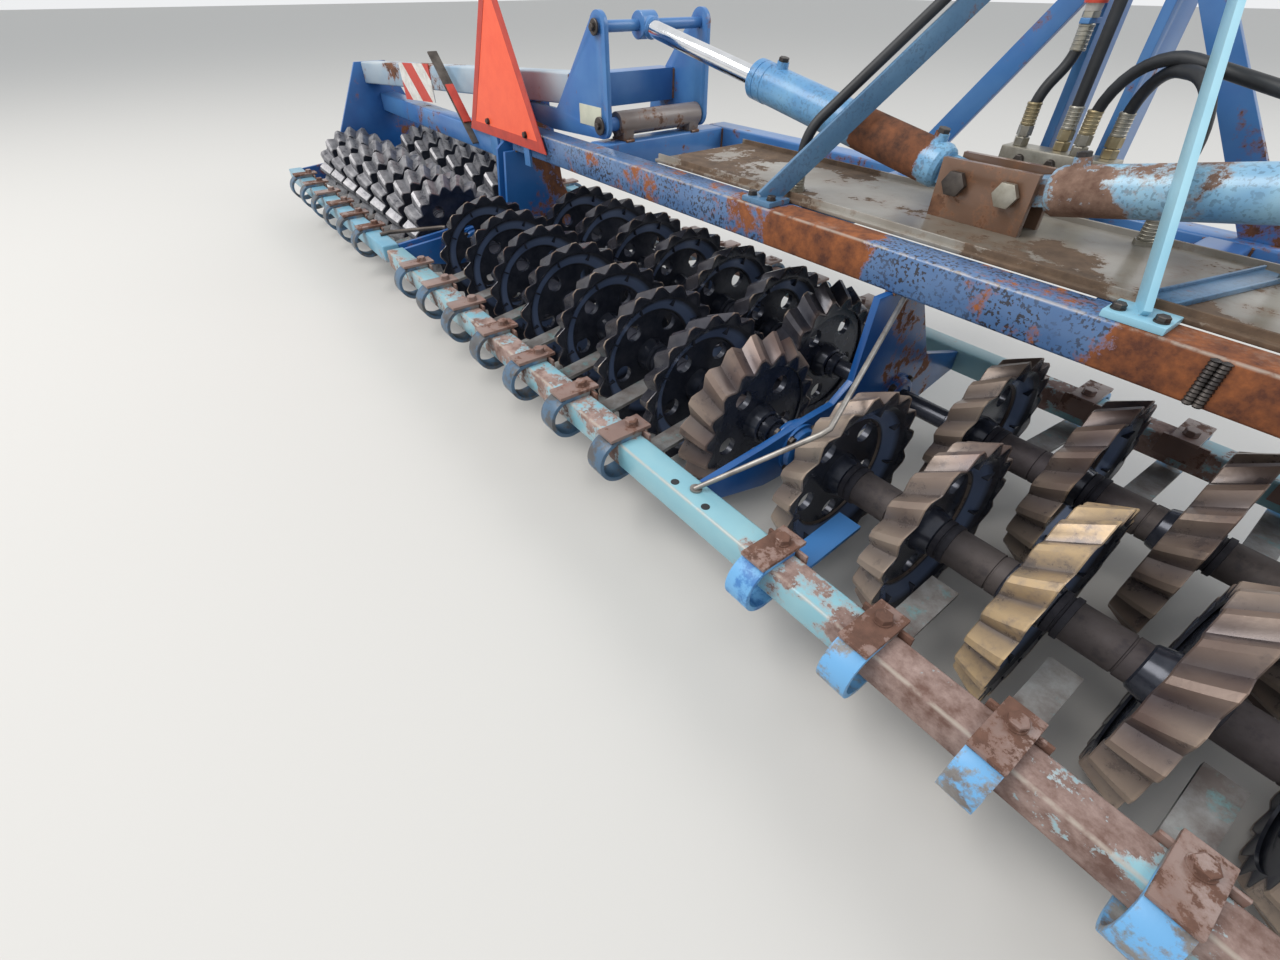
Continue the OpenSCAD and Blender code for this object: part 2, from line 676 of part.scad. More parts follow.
module cylinder_barrel_one() {
    color(paint) along_cylinder() {
        difference() {
            union() {
                translate([60, 0, 0]) rotate([0, 90, 0])
                    cylinder(d = barrel_d, h = barrel_len - 60, $fn = 64);
                translate([0, -25, -30]) cube([70, 50, 60]);
                translate([0, -25, 0]) rotate([-90, 0, 0]) cylinder(r = 30, h = 50, $fn = 48);
            }
            translate([140, 0, 0]) rotate([0, 90, 0])
                cylinder(d = rod_d + 2 * fit, h = barrel_len, $fn = 48);
        }
        translate([0, -anchor_gap / 2 - 20, 0]) rotate([-90, 0, 0])
            cylinder(d = cyl_pin_d, h = anchor_gap + 40, $fn = 40);
    }
}

module cylinder_rod_one() {
    color(steel) along_cylinder() {
        translate([rod_start, 0, 0]) rotate([0, 90, 0])
            cylinder(d = rod_d, h = cyl_len - 30 - rod_start, $fn = 48);
        translate([cyl_len, -eye_w / 2, 0]) rotate([-90, 0, 0])
            cylinder(r = 36, h = eye_w, $fn = 48);
        translate([cyl_len, -eye_w / 2 - 1, 0]) rotate([-90, 0, 0])
            cylinder(d = lever_pin_d, h = eye_w + 2, $fn = 40);
    }
}

module left() { mirror([1, 0, 0]) children(); }

placed() rear_beam();
placed() front_beam();
placed() cross_beams();
placed() deck_plates();
placed() side_plates();
placed() headstock();
placed() mast_stays();
placed() cylinder_anchor();
placed() hinge_tubes();
placed() scraper_bars_middle();
placed() scrapers_middle_rear();
placed() scrapers_middle_front();
placed() hose_block();
placed() hoses();
placed() slow_triangle();
placed() section_row(-1, 0, mid_rings, false, 1, 0);  // roller_middle_left_rear
placed() section_row(-1, 0, mid_rings, true, 1, 0);  // roller_middle_left_front
placed() section_row(1, 0, mid_rings, false, 1, -1);  // roller_middle_right_rear
placed() section_row(1, 0, mid_rings, true, 1, -1);  // roller_middle_right_front
placed() section_row(-1, wing_in_x, wing_rings, false, -1, -1);  // roller_wing_left_rear
placed() section_row(-1, wing_in_x, wing_rings, true, -1, -1);  // roller_wing_left_front
placed() section_row(1, wing_in_x, wing_rings, false, 1, -1);  // roller_wing_right_rear
placed() section_row(1, wing_in_x, wing_rings, true, 1, -1);  // roller_wing_right_front
placed() left() wing_beam_one();  // wing_beam_left
placed() left() wing_rear_beam_one();  // wing_rear_beam_left
placed() left() wing_plates_one();  // wing_plates_left
placed() left() wing_lever_one();  // wing_lever_left
placed() left() scraper_bars_one();  // scraper_bars_left
placed() left() scrapers_one();  // scrapers_left
placed() left() marker_one();  // marker_left
placed() wing_beam_one();  // wing_beam_right
placed() wing_rear_beam_one();  // wing_rear_beam_right
placed() wing_plates_one();  // wing_plates_right
placed() wing_lever_one();  // wing_lever_right
placed() scraper_bars_one();  // scraper_bars_right
placed() scrapers_one();  // scrapers_right
placed() marker_one();  // marker_right
placed() left() cylinder_barrel_one();  // cylinder_barrel_left
placed() left() cylinder_rod_one();  // cylinder_rod_left
placed() cylinder_barrel_one();  // cylinder_barrel_right
placed() cylinder_rod_one();  // cylinder_rod_right
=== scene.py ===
# %% [markdown]
# # A folding ring press, dressed around its packed frame
# The machine is a farm roller in three sections. Two rows of toothed iron rings run under
# blue beams, and two wings fold up on long cylinders. The packed CAD model is loaded first
# and never moved. Everything made here is fitted around it and rides on its bodies.

# %% Load the frame
import json
import math

import bpy
import bmesh
from mathutils import Matrix, Vector


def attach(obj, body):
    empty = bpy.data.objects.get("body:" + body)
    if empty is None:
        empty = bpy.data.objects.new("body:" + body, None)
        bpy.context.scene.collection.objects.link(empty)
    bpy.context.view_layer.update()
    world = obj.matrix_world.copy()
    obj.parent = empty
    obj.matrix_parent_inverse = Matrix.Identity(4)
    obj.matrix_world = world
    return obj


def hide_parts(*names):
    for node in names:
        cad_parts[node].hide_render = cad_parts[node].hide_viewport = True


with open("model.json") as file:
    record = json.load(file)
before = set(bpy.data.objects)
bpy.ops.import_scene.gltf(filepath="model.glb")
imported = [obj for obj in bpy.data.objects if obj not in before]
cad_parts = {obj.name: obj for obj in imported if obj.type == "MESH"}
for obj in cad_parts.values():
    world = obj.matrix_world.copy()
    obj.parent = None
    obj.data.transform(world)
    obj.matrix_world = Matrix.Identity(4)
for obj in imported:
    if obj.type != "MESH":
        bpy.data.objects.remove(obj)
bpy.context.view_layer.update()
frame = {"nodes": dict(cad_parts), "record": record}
nodes = frame["nodes"]

# %% [markdown]
# ## Camera
# The photograph was taken from chest height, close behind the right half of the machine,
# with a wide lens that looks down and to the left. A camera can be turned by eye until the
# picture fits, but the beams draw long straight lines in it, and a camera that is fitted to
# those lines comes closer, so its place, direction and focal length are set as numbers.

# %% Camera
PHOTO_WIDTH = 1280
FOCAL_PIXELS = 588.1
SENSOR_MM = 36
EYE = Vector((0.6227, -1.1976, 0.9707))
LOOK = Vector((-0.6093, 0.4564, -0.6484)).normalized()
UP = Vector((0, 0, 1))


def new_object(name, data):
    """An object for a mesh, lamp or camera, linked to the scene."""
    made = bpy.data.objects.new(name, data)
    bpy.context.scene.collection.objects.link(made)
    return made


def aim_camera(eye, look):
    """A level camera at eye that looks along look."""
    data = bpy.data.cameras.new("photo_camera")
    data.sensor_width = SENSOR_MM
    data.lens = SENSOR_MM * FOCAL_PIXELS / PHOTO_WIDTH
    data.clip_start = 0.02
    camera = new_object("photo_camera", data)
    right = look.cross(UP).normalized()
    turn = Matrix((right, right.cross(look), -look)).transposed().to_4x4()
    camera.matrix_world = Matrix.Translation(eye) @ turn
    bpy.context.scene.camera = camera
    print("lens", round(data.lens, 2), "mm")


aim_camera(EYE, LOOK)

# %% [markdown]
# ## Floor and light
# The machine stands on a plain pale floor under one big soft sky, and two wide lamps shape
# it a little. The floor keeps its shadow. Straight and mirrored rays see a brighter
# backdrop than the light that falls on the machine, so the background is pale and the
# paint keeps its colour.

# %% Floor, world and lamps
FLOOR_HALF = 40
FLOOR_COLOUR = (0.62, 0.60, 0.57, 1)
SKY_COLOUR = (0.90, 0.95, 1.0, 1)
SKY_STRENGTH = 0.75
BACKDROP = (0.86, 0.87, 0.88, 1)


def lay_floor():
    half = FLOOR_HALF
    mesh = bpy.data.meshes.new("floor")
    corners = [(-half, -half, 0), (half, -half, 0), (half, half, 0), (-half, half, 0)]
    mesh.from_pydata(corners, [], [(0, 1, 2, 3)])
    material = bpy.data.materials.new("floor")
    material.use_nodes = True
    shader = material.node_tree.nodes["Principled BSDF"]
    shader.inputs["Base Color"].default_value = FLOOR_COLOUR
    shader.inputs["Roughness"].default_value = 0.9
    mesh.materials.append(material)
    new_object("floor", mesh)


def sky():
    """A world that lights with SKY_COLOUR and shows BACKDROP."""
    world = bpy.data.worlds.new("studio")
    bpy.context.scene.world = world
    world.use_nodes = True
    tree = world.node_tree
    light = tree.nodes["Background"]
    light.inputs["Color"].default_value = SKY_COLOUR
    light.inputs["Strength"].default_value = SKY_STRENGTH
    shown = tree.nodes.new("ShaderNodeBackground")
    shown.inputs["Color"].default_value = BACKDROP
    path = tree.nodes.new("ShaderNodeLightPath").outputs
    seen = path["Is Camera Ray"]
    for ray in ("Is Glossy Ray", "Is Transmission Ray"):
        either = tree.nodes.new("ShaderNodeMath")
        either.operation = "MAXIMUM"
        tree.links.new(seen, either.inputs[0])
        tree.links.new(path[ray], either.inputs[1])
        seen = either.outputs[0]
    mix = tree.nodes.new("ShaderNodeMixShader")
    for socket, source in zip(mix.inputs, (seen, light.outputs[0], shown.outputs[0])):
        tree.links.new(source, socket)
    tree.links.new(mix.outputs[0], tree.nodes["World Output"].inputs["Surface"])


def soft_lamp(name, place, power, colour=(1, 1, 1)):
    """A 5 m square lamp that looks at the middle of the machine."""
    data = bpy.data.lights.new(name, "AREA")
    data.size = 5
    data.energy = power
    data.color = colour
    lamp = new_object(name, data)
    lamp.location = place
    look = Vector((0, 0, 0.3)) - Vector(place)
    lamp.rotation_euler = look.to_track_quat("-Z", "Y").to_euler()


bpy.context.scene.view_settings.view_transform = "Standard"
lay_floor()
sky()
soft_lamp("key", (-3, -5, 7), 520, (1.0, 0.98, 0.95))
soft_lamp("far_side", (4, 6, 6), 260)
print("lamps", [light.name for light in bpy.data.lights])

# %% [markdown]
# ## Shared surface effects
# Every material is a small tree of nodes. The class below adds them with short calls, in
# which a value may be a number, a colour or another node's socket. Paint chips and dust show
# on almost every piece, so each is one node group with named inputs, built once and placed
# in each material with its own values.

# %% A helper that adds shader nodes
class Shade:
    """Adds nodes to one shader tree; where is the place that its patterns follow."""

    def __init__(self, tree, where):
        self.tree = tree
        self.where = where

    def feed(self, socket, value):
        if isinstance(value, bpy.types.NodeSocket):
            self.tree.links.new(value, socket)
        else:
            socket.default_value = (*value, 1) if isinstance(value, tuple) else value

    def add(self, kind, fed=None, **settings):
        """A new node's outputs; fed goes to its inputs by name or number."""
        node = self.tree.nodes.new(kind)
        for key, value in settings.items():
            setattr(node, key, value)
        for key, value in (fed or {}).items():
            self.feed(node.inputs[key], value)
        return node.outputs

    def ramp(self, source, low, high, to_low=0.0, to_high=1.0):
        """source mapped so that low gives to_low and high gives to_high."""
        return self.add("ShaderNodeMapRange", {
            "Value": source, "From Min": low, "From Max": high, "To Min": to_low,
            "To Max": to_high})["Result"]

    def calc(self, operation, a, b=0.0, clamp=True):
        return self.add("ShaderNodeMath", {0: a, 1: b}, operation=operation, use_clamp=clamp)[0]

    def plus(self, a, b):
        return self.calc("ADD", a, b)

    def minus(self, a, b):
        return self.calc("SUBTRACT", a, b)

    def times(self, a, b):
        return self.calc("MULTIPLY", a, b)

    def mix(self, factor, a, b):
        """Colour a where factor is 0 and b where it is 1."""
        return self.add("ShaderNodeMix", {0: factor, 6: a, 7: b}, data_type="RGBA")[2]

    def noise(self, scale, detail=4.0, roughness=0.6):
        return self.add("ShaderNodeTexNoise", {
            "Vector": self.where, "Scale": scale, "Detail": detail,
            "Roughness": roughness})["Fac"]

    def parts(self, vector=None):
        """The X, Y and Z sockets of a vector, or of the place."""
        return self.add("ShaderNodeSeparateXYZ", {0: vector or self.where})

    def between(self, value, low, high, soft=0.01):
        """1 where value lies between low and high, 0 outside, with a soft edge."""
        return self.times(self.ramp(value, low - soft, low + soft),
                          self.ramp(value, high + soft, high - soft))

    def surface(self, colour, rough, metallic=0.0, height=None, strength=0.4, distance=0.0006):
        """Feed the surface's own shader, with height through a bump."""
        shader = self.tree.nodes["Principled BSDF"].inputs
        self.feed(shader["Base Color"], colour)
        self.feed(shader["Roughness"], rough)
        self.feed(shader["Metallic"], metallic)
        if height:
            self.feed(shader["Normal"], self.add("ShaderNodeBump", {
                "Strength": strength, "Distance": distance, "Height": height})[0])
        return shader


print("shader helper", [name for name in vars(Shade) if not name.startswith("_")])


# %% Node groups for chips and dust
def new_group(name, numbers, outputs):
    """A node group with a Vector, these numbers and these outputs, and what fills it."""
    group = bpy.data.node_groups.new(name, "ShaderNodeTree")
    face = group.interface
    face.new_socket(name="Vector", in_out="INPUT", socket_type="NodeSocketVector")
    for label, value in numbers:
        socket = face.new_socket(name=label, in_out="INPUT", socket_type="NodeSocketFloat")
        socket.default_value = value
    for label in outputs:
        face.new_socket(name=label, in_out="OUTPUT", socket_type="NodeSocketFloat")
    given = group.nodes.new("NodeGroupInput").outputs
    out = group.nodes.new("NodeGroupOutput").inputs
    return group, Shade(group, given["Vector"]), given, out


def build_chips():
    """Where paint has flaked off, and the stained fringe round each flake."""
    group, s, given, out = new_group("chips", [("Scale", 14.0), ("Amount", 0.5)],
                                     ["Mask", "Fringe"])
    both = s.plus(s.times(s.noise(given["Scale"], 8, 0.72), 0.62),
                  s.times(s.noise(2.2, 3, 0.55), 0.38))
    edge = s.minus(0.78, s.times(given["Amount"], 0.5))
    s.feed(out["Mask"], s.ramp(both, edge, s.plus(edge, 0.012)))
    s.feed(out["Fringe"], s.ramp(both, s.minus(edge, 0.035), edge))
    return group


def build_dust():
    """Dust that lies where a surface looks up."""
    group, s, given, out = new_group("dust", [("Amount", 0.5)], ["Mask"])
    cloud = s.plus(s.times(s.noise(5, 5, 0.65), 0.75), s.times(s.noise(160, 3), 0.25))
    upward = s.ramp(s.parts(s.add("ShaderNodeNewGeometry")["Normal"])["Z"], -0.2, 1.0)
    low = s.minus(0.75, s.times(given["Amount"], 0.6))
    s.feed(out["Mask"], s.ramp(s.times(cloud, upward), low, s.plus(low, 0.3)))
    return group


CHIPS = build_chips()
DUST = build_dust()
print("node groups", [g.name for g in (CHIPS, DUST)])

# %% [markdown]
# ## Paint
# The press has been repainted and has rusted since. One function gives fresh and faded
# paint, flakes with a stained fringe, rust in two tones, dust on top, and where it is asked
# for the small dark pits of old enamel and a pale line along a worn edge, which is also a
# painted highlight.

# %% Tones of rust, wear and dust
RUST = ((0.060, 0.026, 0.016), (0.230, 0.082, 0.034))
BAR_RUST = ((0.150, 0.082, 0.064), (0.400, 0.290, 0.255))
PIT = (0.030, 0.026, 0.030)
EDGE_WEAR_AND_HIGHLIGHT = (0.46, 0.40, 0.34)
DUST_COLOUR = (0.36, 0.33, 0.29)
print("rust tones", RUST, BAR_RUST)


# %% One function for all painted steel
def start_material(name):
    material = bpy.data.materials.new(name)
    material.use_nodes = True
    tree = material.node_tree
    where = tree.nodes.new("ShaderNodeTexCoord").outputs["Object"]
    return material, Shade(tree, where)


def painted(name, fresh, faded, chips, scale, rust=RUST, dusty=0.3, pits=0.0, spans=(),
            worn_highlit_edge=None):
    """Paint that flakes; a span (axis, low, high, change) flakes more or less, in metres.

    The worn edge is the (y, z) of an edge along X, worn pale and given a painted highlight.
    """
    material, s = start_material(name)
    place = s.parts()
    paint = s.mix(s.ramp(s.noise(3.5), 0.35, 0.65), fresh, faded)
    rusted = s.mix(s.ramp(s.noise(24, 6, 0.7), 0.35, 0.68), *rust)
    amount = chips
    for axis, low, high, change in spans:
        patch = s.times(s.between(place[axis], low, high, 0.03), abs(change))
        amount = s.plus(amount, patch) if change > 0 else s.minus(amount, patch)
    flake = s.add("ShaderNodeGroup", {"Vector": s.where, "Scale": scale, "Amount": amount},
                  node_tree=CHIPS)
    if pits:
        spots = s.times(s.ramp(s.noise(150, 3, 0.5), 0.54, 0.58),
                        s.ramp(s.noise(9, 3), 0.30, 0.55))
        paint = s.mix(s.times(spots, pits), paint, PIT)
    stained = s.mix(s.times(flake["Fringe"], 0.55), paint, rust[1])
    worn = s.mix(flake["Mask"], stained, rusted)
    # Painted highlight on a worn edge: a pale, patchy line where the edge is worn and catches the
    # light.
    if worn_highlit_edge:
        y, z = worn_highlit_edge
        line = s.times(s.ramp(place["Z"], z - 0.005, z),
                       s.ramp(place["Y"], y + 0.007, y + 0.002))
        worn = s.mix(s.times(line, s.ramp(s.noise(30), 0.38, 0.52)), worn, EDGE_WEAR_AND_HIGHLIGHT)
    dust = s.add("ShaderNodeGroup", {"Vector": s.where, "Amount": dusty}, node_tree=DUST)
    colour = s.mix(s.times(dust["Mask"], 0.6), worn, DUST_COLOUR)
    height = s.minus(1.0, s.times(s.noise(220), 0.25))
    s.surface(colour, s.ramp(flake["Mask"], -0.45, 1.15), 0.0, height, 0.6, 0.0008)
    return material


# %% The paints
blue = painted("blue_paint", (0.045, 0.150, 0.400), (0.085, 0.230, 0.480), 0.36, 13)
rear_paint = painted("pitted_blue", (0.060, 0.135, 0.300), (0.125, 0.220, 0.400), 0.40, 12,
                     ((0.095, 0.032, 0.018), (0.340, 0.110, 0.035)), pits=0.95,
                     spans=(("X", -0.33, -0.08, 0.55), ("X", 0.40, 1.00, 0.55)),
                     worn_highlit_edge=(-0.0975, 0.565))
stay_paint = painted("stay_blue", (0.070, 0.165, 0.290), (0.140, 0.270, 0.420), 0.30, 16,
                     pits=0.3)
pale_stay = painted("stay_pale", (0.230, 0.480, 0.620), (0.360, 0.620, 0.730), 0.25, 18)
pale_blue = painted("pale_blue_paint", (0.230, 0.350, 0.470), (0.420, 0.490, 0.540), 0.42, 11)
barrel_blue = painted("barrel_blue", (0.090, 0.260, 0.500), (0.260, 0.500, 0.680), 0.38, 15,
                      pits=0.4, spans=(("X", -0.34, -0.16, 0.55),))
barrel_rusty = painted("barrel_rusty", (0.110, 0.290, 0.520), (0.400, 0.620, 0.700), 0.57, 10,
                       ((0.120, 0.062, 0.042), (0.300, 0.190, 0.140)), pits=0.4,
                       spans=(("X", 0.38, 1.2, -0.45),))
bar_paint = painted("bar_paint", (0.200, 0.430, 0.520), (0.300, 0.520, 0.570), 0.60, 13,
                    BAR_RUST, spans=(("X", -0.17, 0.17, -0.40), ("X", 0.17, 0.36, -0.09)),
                    worn_highlit_edge=(-0.6425, 0.230))
clamp_paint = painted("clamp_paint", (0.175, 0.105, 0.085), (0.300, 0.205, 0.175), 0.50, 16,
                      ((0.095, 0.048, 0.034), (0.180, 0.090, 0.062)))
plate_blue = painted("plate_blue", (0.008, 0.070, 0.250), (0.022, 0.125, 0.360), 0.32, 12,
                     spans=(("Y", -0.06, 0.20, 0.20),))
tube_paint = painted("hinge_tube", (0.190, 0.150, 0.130), (0.270, 0.225, 0.205), 0.50, 14,
                     ((0.080, 0.045, 0.032), (0.210, 0.105, 0.060)))
wing_bar_paint = painted("wing_bar_paint", (0.130, 0.330, 0.460), (0.250, 0.450, 0.540), 0.30,
                         10, BAR_RUST)
rusty = painted("rusty_plate", (0.150, 0.080, 0.050), (0.200, 0.120, 0.080), 0.55, 14,
                ((0.070, 0.036, 0.024), (0.260, 0.120, 0.062)))
deck = painted("deck_plate", (0.170, 0.140, 0.105), (0.330, 0.310, 0.275), 0.56, 5,
               ((0.085, 0.055, 0.036), (0.170, 0.110, 0.070)), dusty=0.2)
print("paints", len(bpy.data.materials))

# %% [markdown]
# ## Steel, iron and signs
# The scraper leaves keep blue paint on their loops and are browned on their tongues. The
# rings are black castings whose teeth the ground has rubbed, so their wear is an attribute
# of the mesh: 1 on a crest, near 0 in a dark gap, and -1 on the glossy dish behind the rim,
# where it marks a painted bluish reflection.

# %% Spring leaves
MM = 0.001
SHIFT_Y = 0.1375


def leaf_paint():
    """Spring leaves: blue paint left on the loops, browned grey-green steel on the tongues."""
    material, s = start_material("leaf_paint")
    place = s.parts()
    from_middle = s.calc("ABSOLUTE", s.calc("ADD", place["Y"], SHIFT_Y, False), clamp=False)
    loop = s.ramp(from_middle, 0.470, 0.490)
    cloud = s.noise(14, 7, 0.7)
    steel = s.mix(s.ramp(cloud, 0.36, 0.66), (0.130, 0.105, 0.095), (0.300, 0.305, 0.300))
    green = s.ramp(s.noise(22, 6, 0.75), 0.56, 0.66)
    steel = s.mix(s.times(green, 0.75), steel, (0.130, 0.300, 0.310))
    steel = s.mix(s.between(place["X"], 0.16, 0.27), steel, (0.055, 0.200, 0.480))
    kept = s.ramp(s.noise(17, 7, 0.72), 0.56, 0.48)
    colour = s.mix(s.times(loop, kept), steel, (0.150, 0.390, 0.680))
    # Painted shade: the loops of the left leaves are darkened to near black.
    shaded_loops = s.times(loop, s.ramp(place["X"], 0.12, -0.02))
    colour = s.mix(s.times(shaded_loops, 0.75), colour, (0.040, 0.044, 0.052))
    s.surface(colour, s.ramp(cloud, -0.2, 1.3), 0.0, s.noise(180, 5))
    return material


leaf_steel = leaf_paint()
print("made", leaf_steel.name)


# %% Cast rings
def cast_rings():
    """Glossy black casting, worn on the tooth crests; greyer on the wings. The dish band gets a
    painted reflection and the middle's left treads painted shade.
    """
    material, s = start_material("ring_iron")
    wear = s.add("ShaderNodeAttribute", attribute_name="wear")["Fac"]
    worn = s.ramp(wear, 0.0, 1.0)
    cloud = s.noise(26, 6, 0.7)
    place = s.parts()
    dark = s.mix(s.ramp(cloud, 0.40, 0.75), (0.024, 0.028, 0.042), (0.060, 0.064, 0.082))
    # Painted reflection: the dish band marked -1 is lifted to a bluish tone, as if the glossy iron
    # there mirrored the sky.
    dark = s.mix(s.ramp(wear, -0.1, -1.0), dark, (0.150, 0.210, 0.360))
    middle = s.mix(s.ramp(s.noise(3.0, 3), 0.38, 0.62), (0.150, 0.095, 0.075),
                   (0.400, 0.310, 0.240))
    rear_tread = s.times(s.ramp(place["Y"], -0.12, -0.14), s.ramp(worn, 0.36, 0.46))
    ochre = s.times(s.between(place["X"], 0.46, 0.57), rear_tread)
    middle = s.mix(s.times(ochre, s.ramp(cloud, 0.30, 0.55)), middle, (0.600, 0.425, 0.235))
    wing = s.mix(s.ramp(cloud, 0.35, 0.65), (0.150, 0.145, 0.155), (0.420, 0.410, 0.420))
    out = s.calc("ABSOLUTE", place["X"], clamp=False)
    tone = s.mix(s.ramp(out, 1.60, 1.70), middle, wing)
    # Painted shade with unworn iron: the treads of the middle's left rings stay dark and only their
    # edges take the worn tone.
    unworn_shaded_treads = s.between(place["X"], -1.64, -0.20)
    edges = s.plus(s.times(s.ramp(worn, 0.80, 0.98), 0.75), s.times(worn, 0.12))
    worn = s.plus(s.times(worn, s.minus(1.0, unworn_shaded_treads)), s.times(edges, unworn_shaded_treads))
    patchy = s.times(worn, s.ramp(cloud, 0.12, 0.46))
    matte = s.between(wear, 0.02, 0.30, 0.02)
    rough = s.plus(s.times(cloud, 0.16), s.times(patchy, 0.16))
    rough = s.plus(s.plus(rough, s.times(matte, 0.35)), 0.14)
    grain = s.times(s.noise(120, 6, 0.65), s.plus(s.times(worn, 0.95), 0.03))
    shader = s.surface(s.mix(patchy, dark, tone), rough, 0.35, grain, 0.45, 0.0009)
    s.feed(shader["Specular IOR Level"], s.minus(0.5, s.times(matte, 0.42)))
    return material


ring_iron = cast_rings()
print("made", ring_iron.name)


# %% Marker stripes
def striped():
    """Slanted red and white bands of a marker board, weathered."""
    material, s = start_material("marker_stripes")
    place = s.parts()
    slant = s.calc("ADD", place["X"], place["Z"], False)
    band = s.ramp(s.calc("PINGPONG", slant, 0.1, False), 0.049, 0.051)
    cloud = s.noise(30, 5, 0.7)
    white = s.mix(s.ramp(cloud, 0.4, 0.7), (0.76, 0.74, 0.70), (0.55, 0.52, 0.47))
    s.surface(s.mix(band, white, (0.560, 0.060, 0.040)), s.ramp(cloud, -0.3, 1.4))
    return material


board = striped()
print("made", board.name)


# %% Plain metals, rubber and sign paints
def clouded(name, dark, light, rough_low, rough_high, metallic=0.0):
    """A finish that drifts between two tones, with a fine grain."""
    material, s = start_material(name)
    cloud = s.noise(18.0, 6, 0.65)
    s.surface(s.mix(s.ramp(cloud, 0.35, 0.65), dark, light),
              s.ramp(cloud, 0.0, 1.0, rough_low, rough_high), metallic,
              s.noise(190, 5), 0.35)
    return material


spring = clouded("spring_steel", (0.060, 0.050, 0.045), (0.150, 0.130, 0.115), 0.35, 0.65, 0.8)
zinc = clouded("zinc", (0.300, 0.280, 0.230), (0.480, 0.460, 0.400), 0.3, 0.5, 0.8)
grey_rod = clouded("grey_rod", (0.200, 0.180, 0.165), (0.420, 0.400, 0.370), 0.35, 0.55, 0.8)
dark_steel = clouded("dark_steel", (0.045, 0.040, 0.040), (0.120, 0.105, 0.095), 0.35, 0.6, 0.8)
brass = clouded("brass", (0.280, 0.220, 0.120), (0.450, 0.380, 0.240), 0.3, 0.5, 0.8)
chrome = clouded("chrome", (0.70, 0.71, 0.73), (0.80, 0.81, 0.83), 0.06, 0.14, 1.0)
rubber = clouded("hose_rubber", (0.010, 0.011, 0.013), (0.022, 0.024, 0.028), 0.4, 0.6)
sign = clouded("sign_orange", (0.90, 0.105, 0.040), (0.96, 0.135, 0.055), 0.3, 0.45)
sign_rim = clouded("sign_rim", (0.420, 0.030, 0.016), (0.560, 0.050, 0.026), 0.3, 0.45)
red_cap = clouded("red_cap", (0.560, 0.050, 0.026), (0.680, 0.090, 0.045), 0.35, 0.5)
grey_cap = clouded("grey_body", (0.400, 0.370, 0.330), (0.560, 0.530, 0.480), 0.4, 0.6)
label = clouded("blank_label", (0.500, 0.510, 0.400), (0.600, 0.600, 0.480), 0.5, 0.7)
print("finishes", len(bpy.data.materials))

# %% Dress the CAD nodes
BY_SLOT = {
    "blue_paint": blue, "pale_blue_paint": pale_blue, "rusty_plate": rusty,
    "spring_steel": leaf_steel, "cast_iron": ring_iron, "fittings": zinc, "chrome_rod": chrome,
    "hose_rubber": rubber, "sign_red": sign, "marker_board": board}


def dress(node, material):
    """Give a CAD node's own object this material in every slot."""
    piece = nodes[node]
    if not piece.data.materials:
        piece.data.materials.append(material)
    for slot in piece.material_slots:
        slot.material = material


for part in frame["record"]["subparts"]:
    dress(part["node"], BY_SLOT[part["material_slot"]])
dress("deck_plates", deck)

# %% [markdown]
# ## Making pieces
# Every new piece is a plain mesh in the machine's own frame and rides on one body. Sizes are
# in millimetres and repeat those of the CAD source, whose y runs 137.5 mm ahead. Blender's
# own primitives would do for most pieces, but turned work, a bevelled box and a swept tube
# come up so often that each has a helper of its own.

# %% Places and directions
ROW_Y = 175
AXLE_Z = 200 * math.cos(math.radians(10))
LOCAL = Matrix.Identity(4)
PART = Matrix.Translation((0, -SHIFT_Y, 0))
ALONG_X = Matrix.Rotation(math.pi / 2, 4, "Y")
SIDES = {-1: "left", 1: "right"}
BODY_OF = {name: body for body, names in frame["record"]["behaviour"]["bodies"].items()
           for name in names}


def at(x, y, z):
    """A point of the CAD source in millimetres, as a place in this scene."""
    return Vector((x * MM, y * MM - SHIFT_Y, z * MM))


def facing(place, direction):
    """A matrix that stands +Z of a shape along direction, at place."""
    turn = Vector(direction).to_track_quat("Z", "Y").to_matrix()
    return Matrix.Translation(place) @ turn.to_4x4()


# %% From a bmesh to a piece
SMOOTH_UP_TO = 30


def smooth_by_angle(mesh, degrees):
    mesh.polygons.foreach_set("use_smooth", [True] * len(mesh.polygons))
    mesh.set_sharp_from_angle(angle=math.radians(degrees))


def mesh_from(bm, name, degrees=None, outward=True):
    """The bmesh as a mesh; degrees is the angle up to which it shades smooth."""
    if outward:
        bmesh.ops.recalc_face_normals(bm, faces=bm.faces)
    mesh = bpy.data.meshes.new(name)
    bm.to_mesh(mesh)
    bm.free()
    if degrees:
        smooth_by_angle(mesh, degrees)
    return mesh


def plain_mesh(piece):
    """What an object's modifiers make of it, as a mesh without them."""
    return bpy.data.meshes.new_from_object(
        piece.evaluated_get(bpy.context.evaluated_depsgraph_get()))


def finish_piece(name, bm, body, material, degrees=SMOOTH_UP_TO, replaces=None):
    """Turn a bmesh into a scene piece that rides on a body."""
    mesh = mesh_from(bm, name, degrees)
    mesh.materials.append(material)
    piece = new_object(name, mesh)
    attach(piece, body)
    if replaces:
        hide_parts(replaces)
    return piece


def tool_object(name, bm, degrees=32):
    """A shape for a node tree to repeat; it is removed once it has been used."""
    return new_object(name, mesh_from(bm, name, degrees))


print("a piece shades smooth up to", SMOOTH_UP_TO, "degrees")


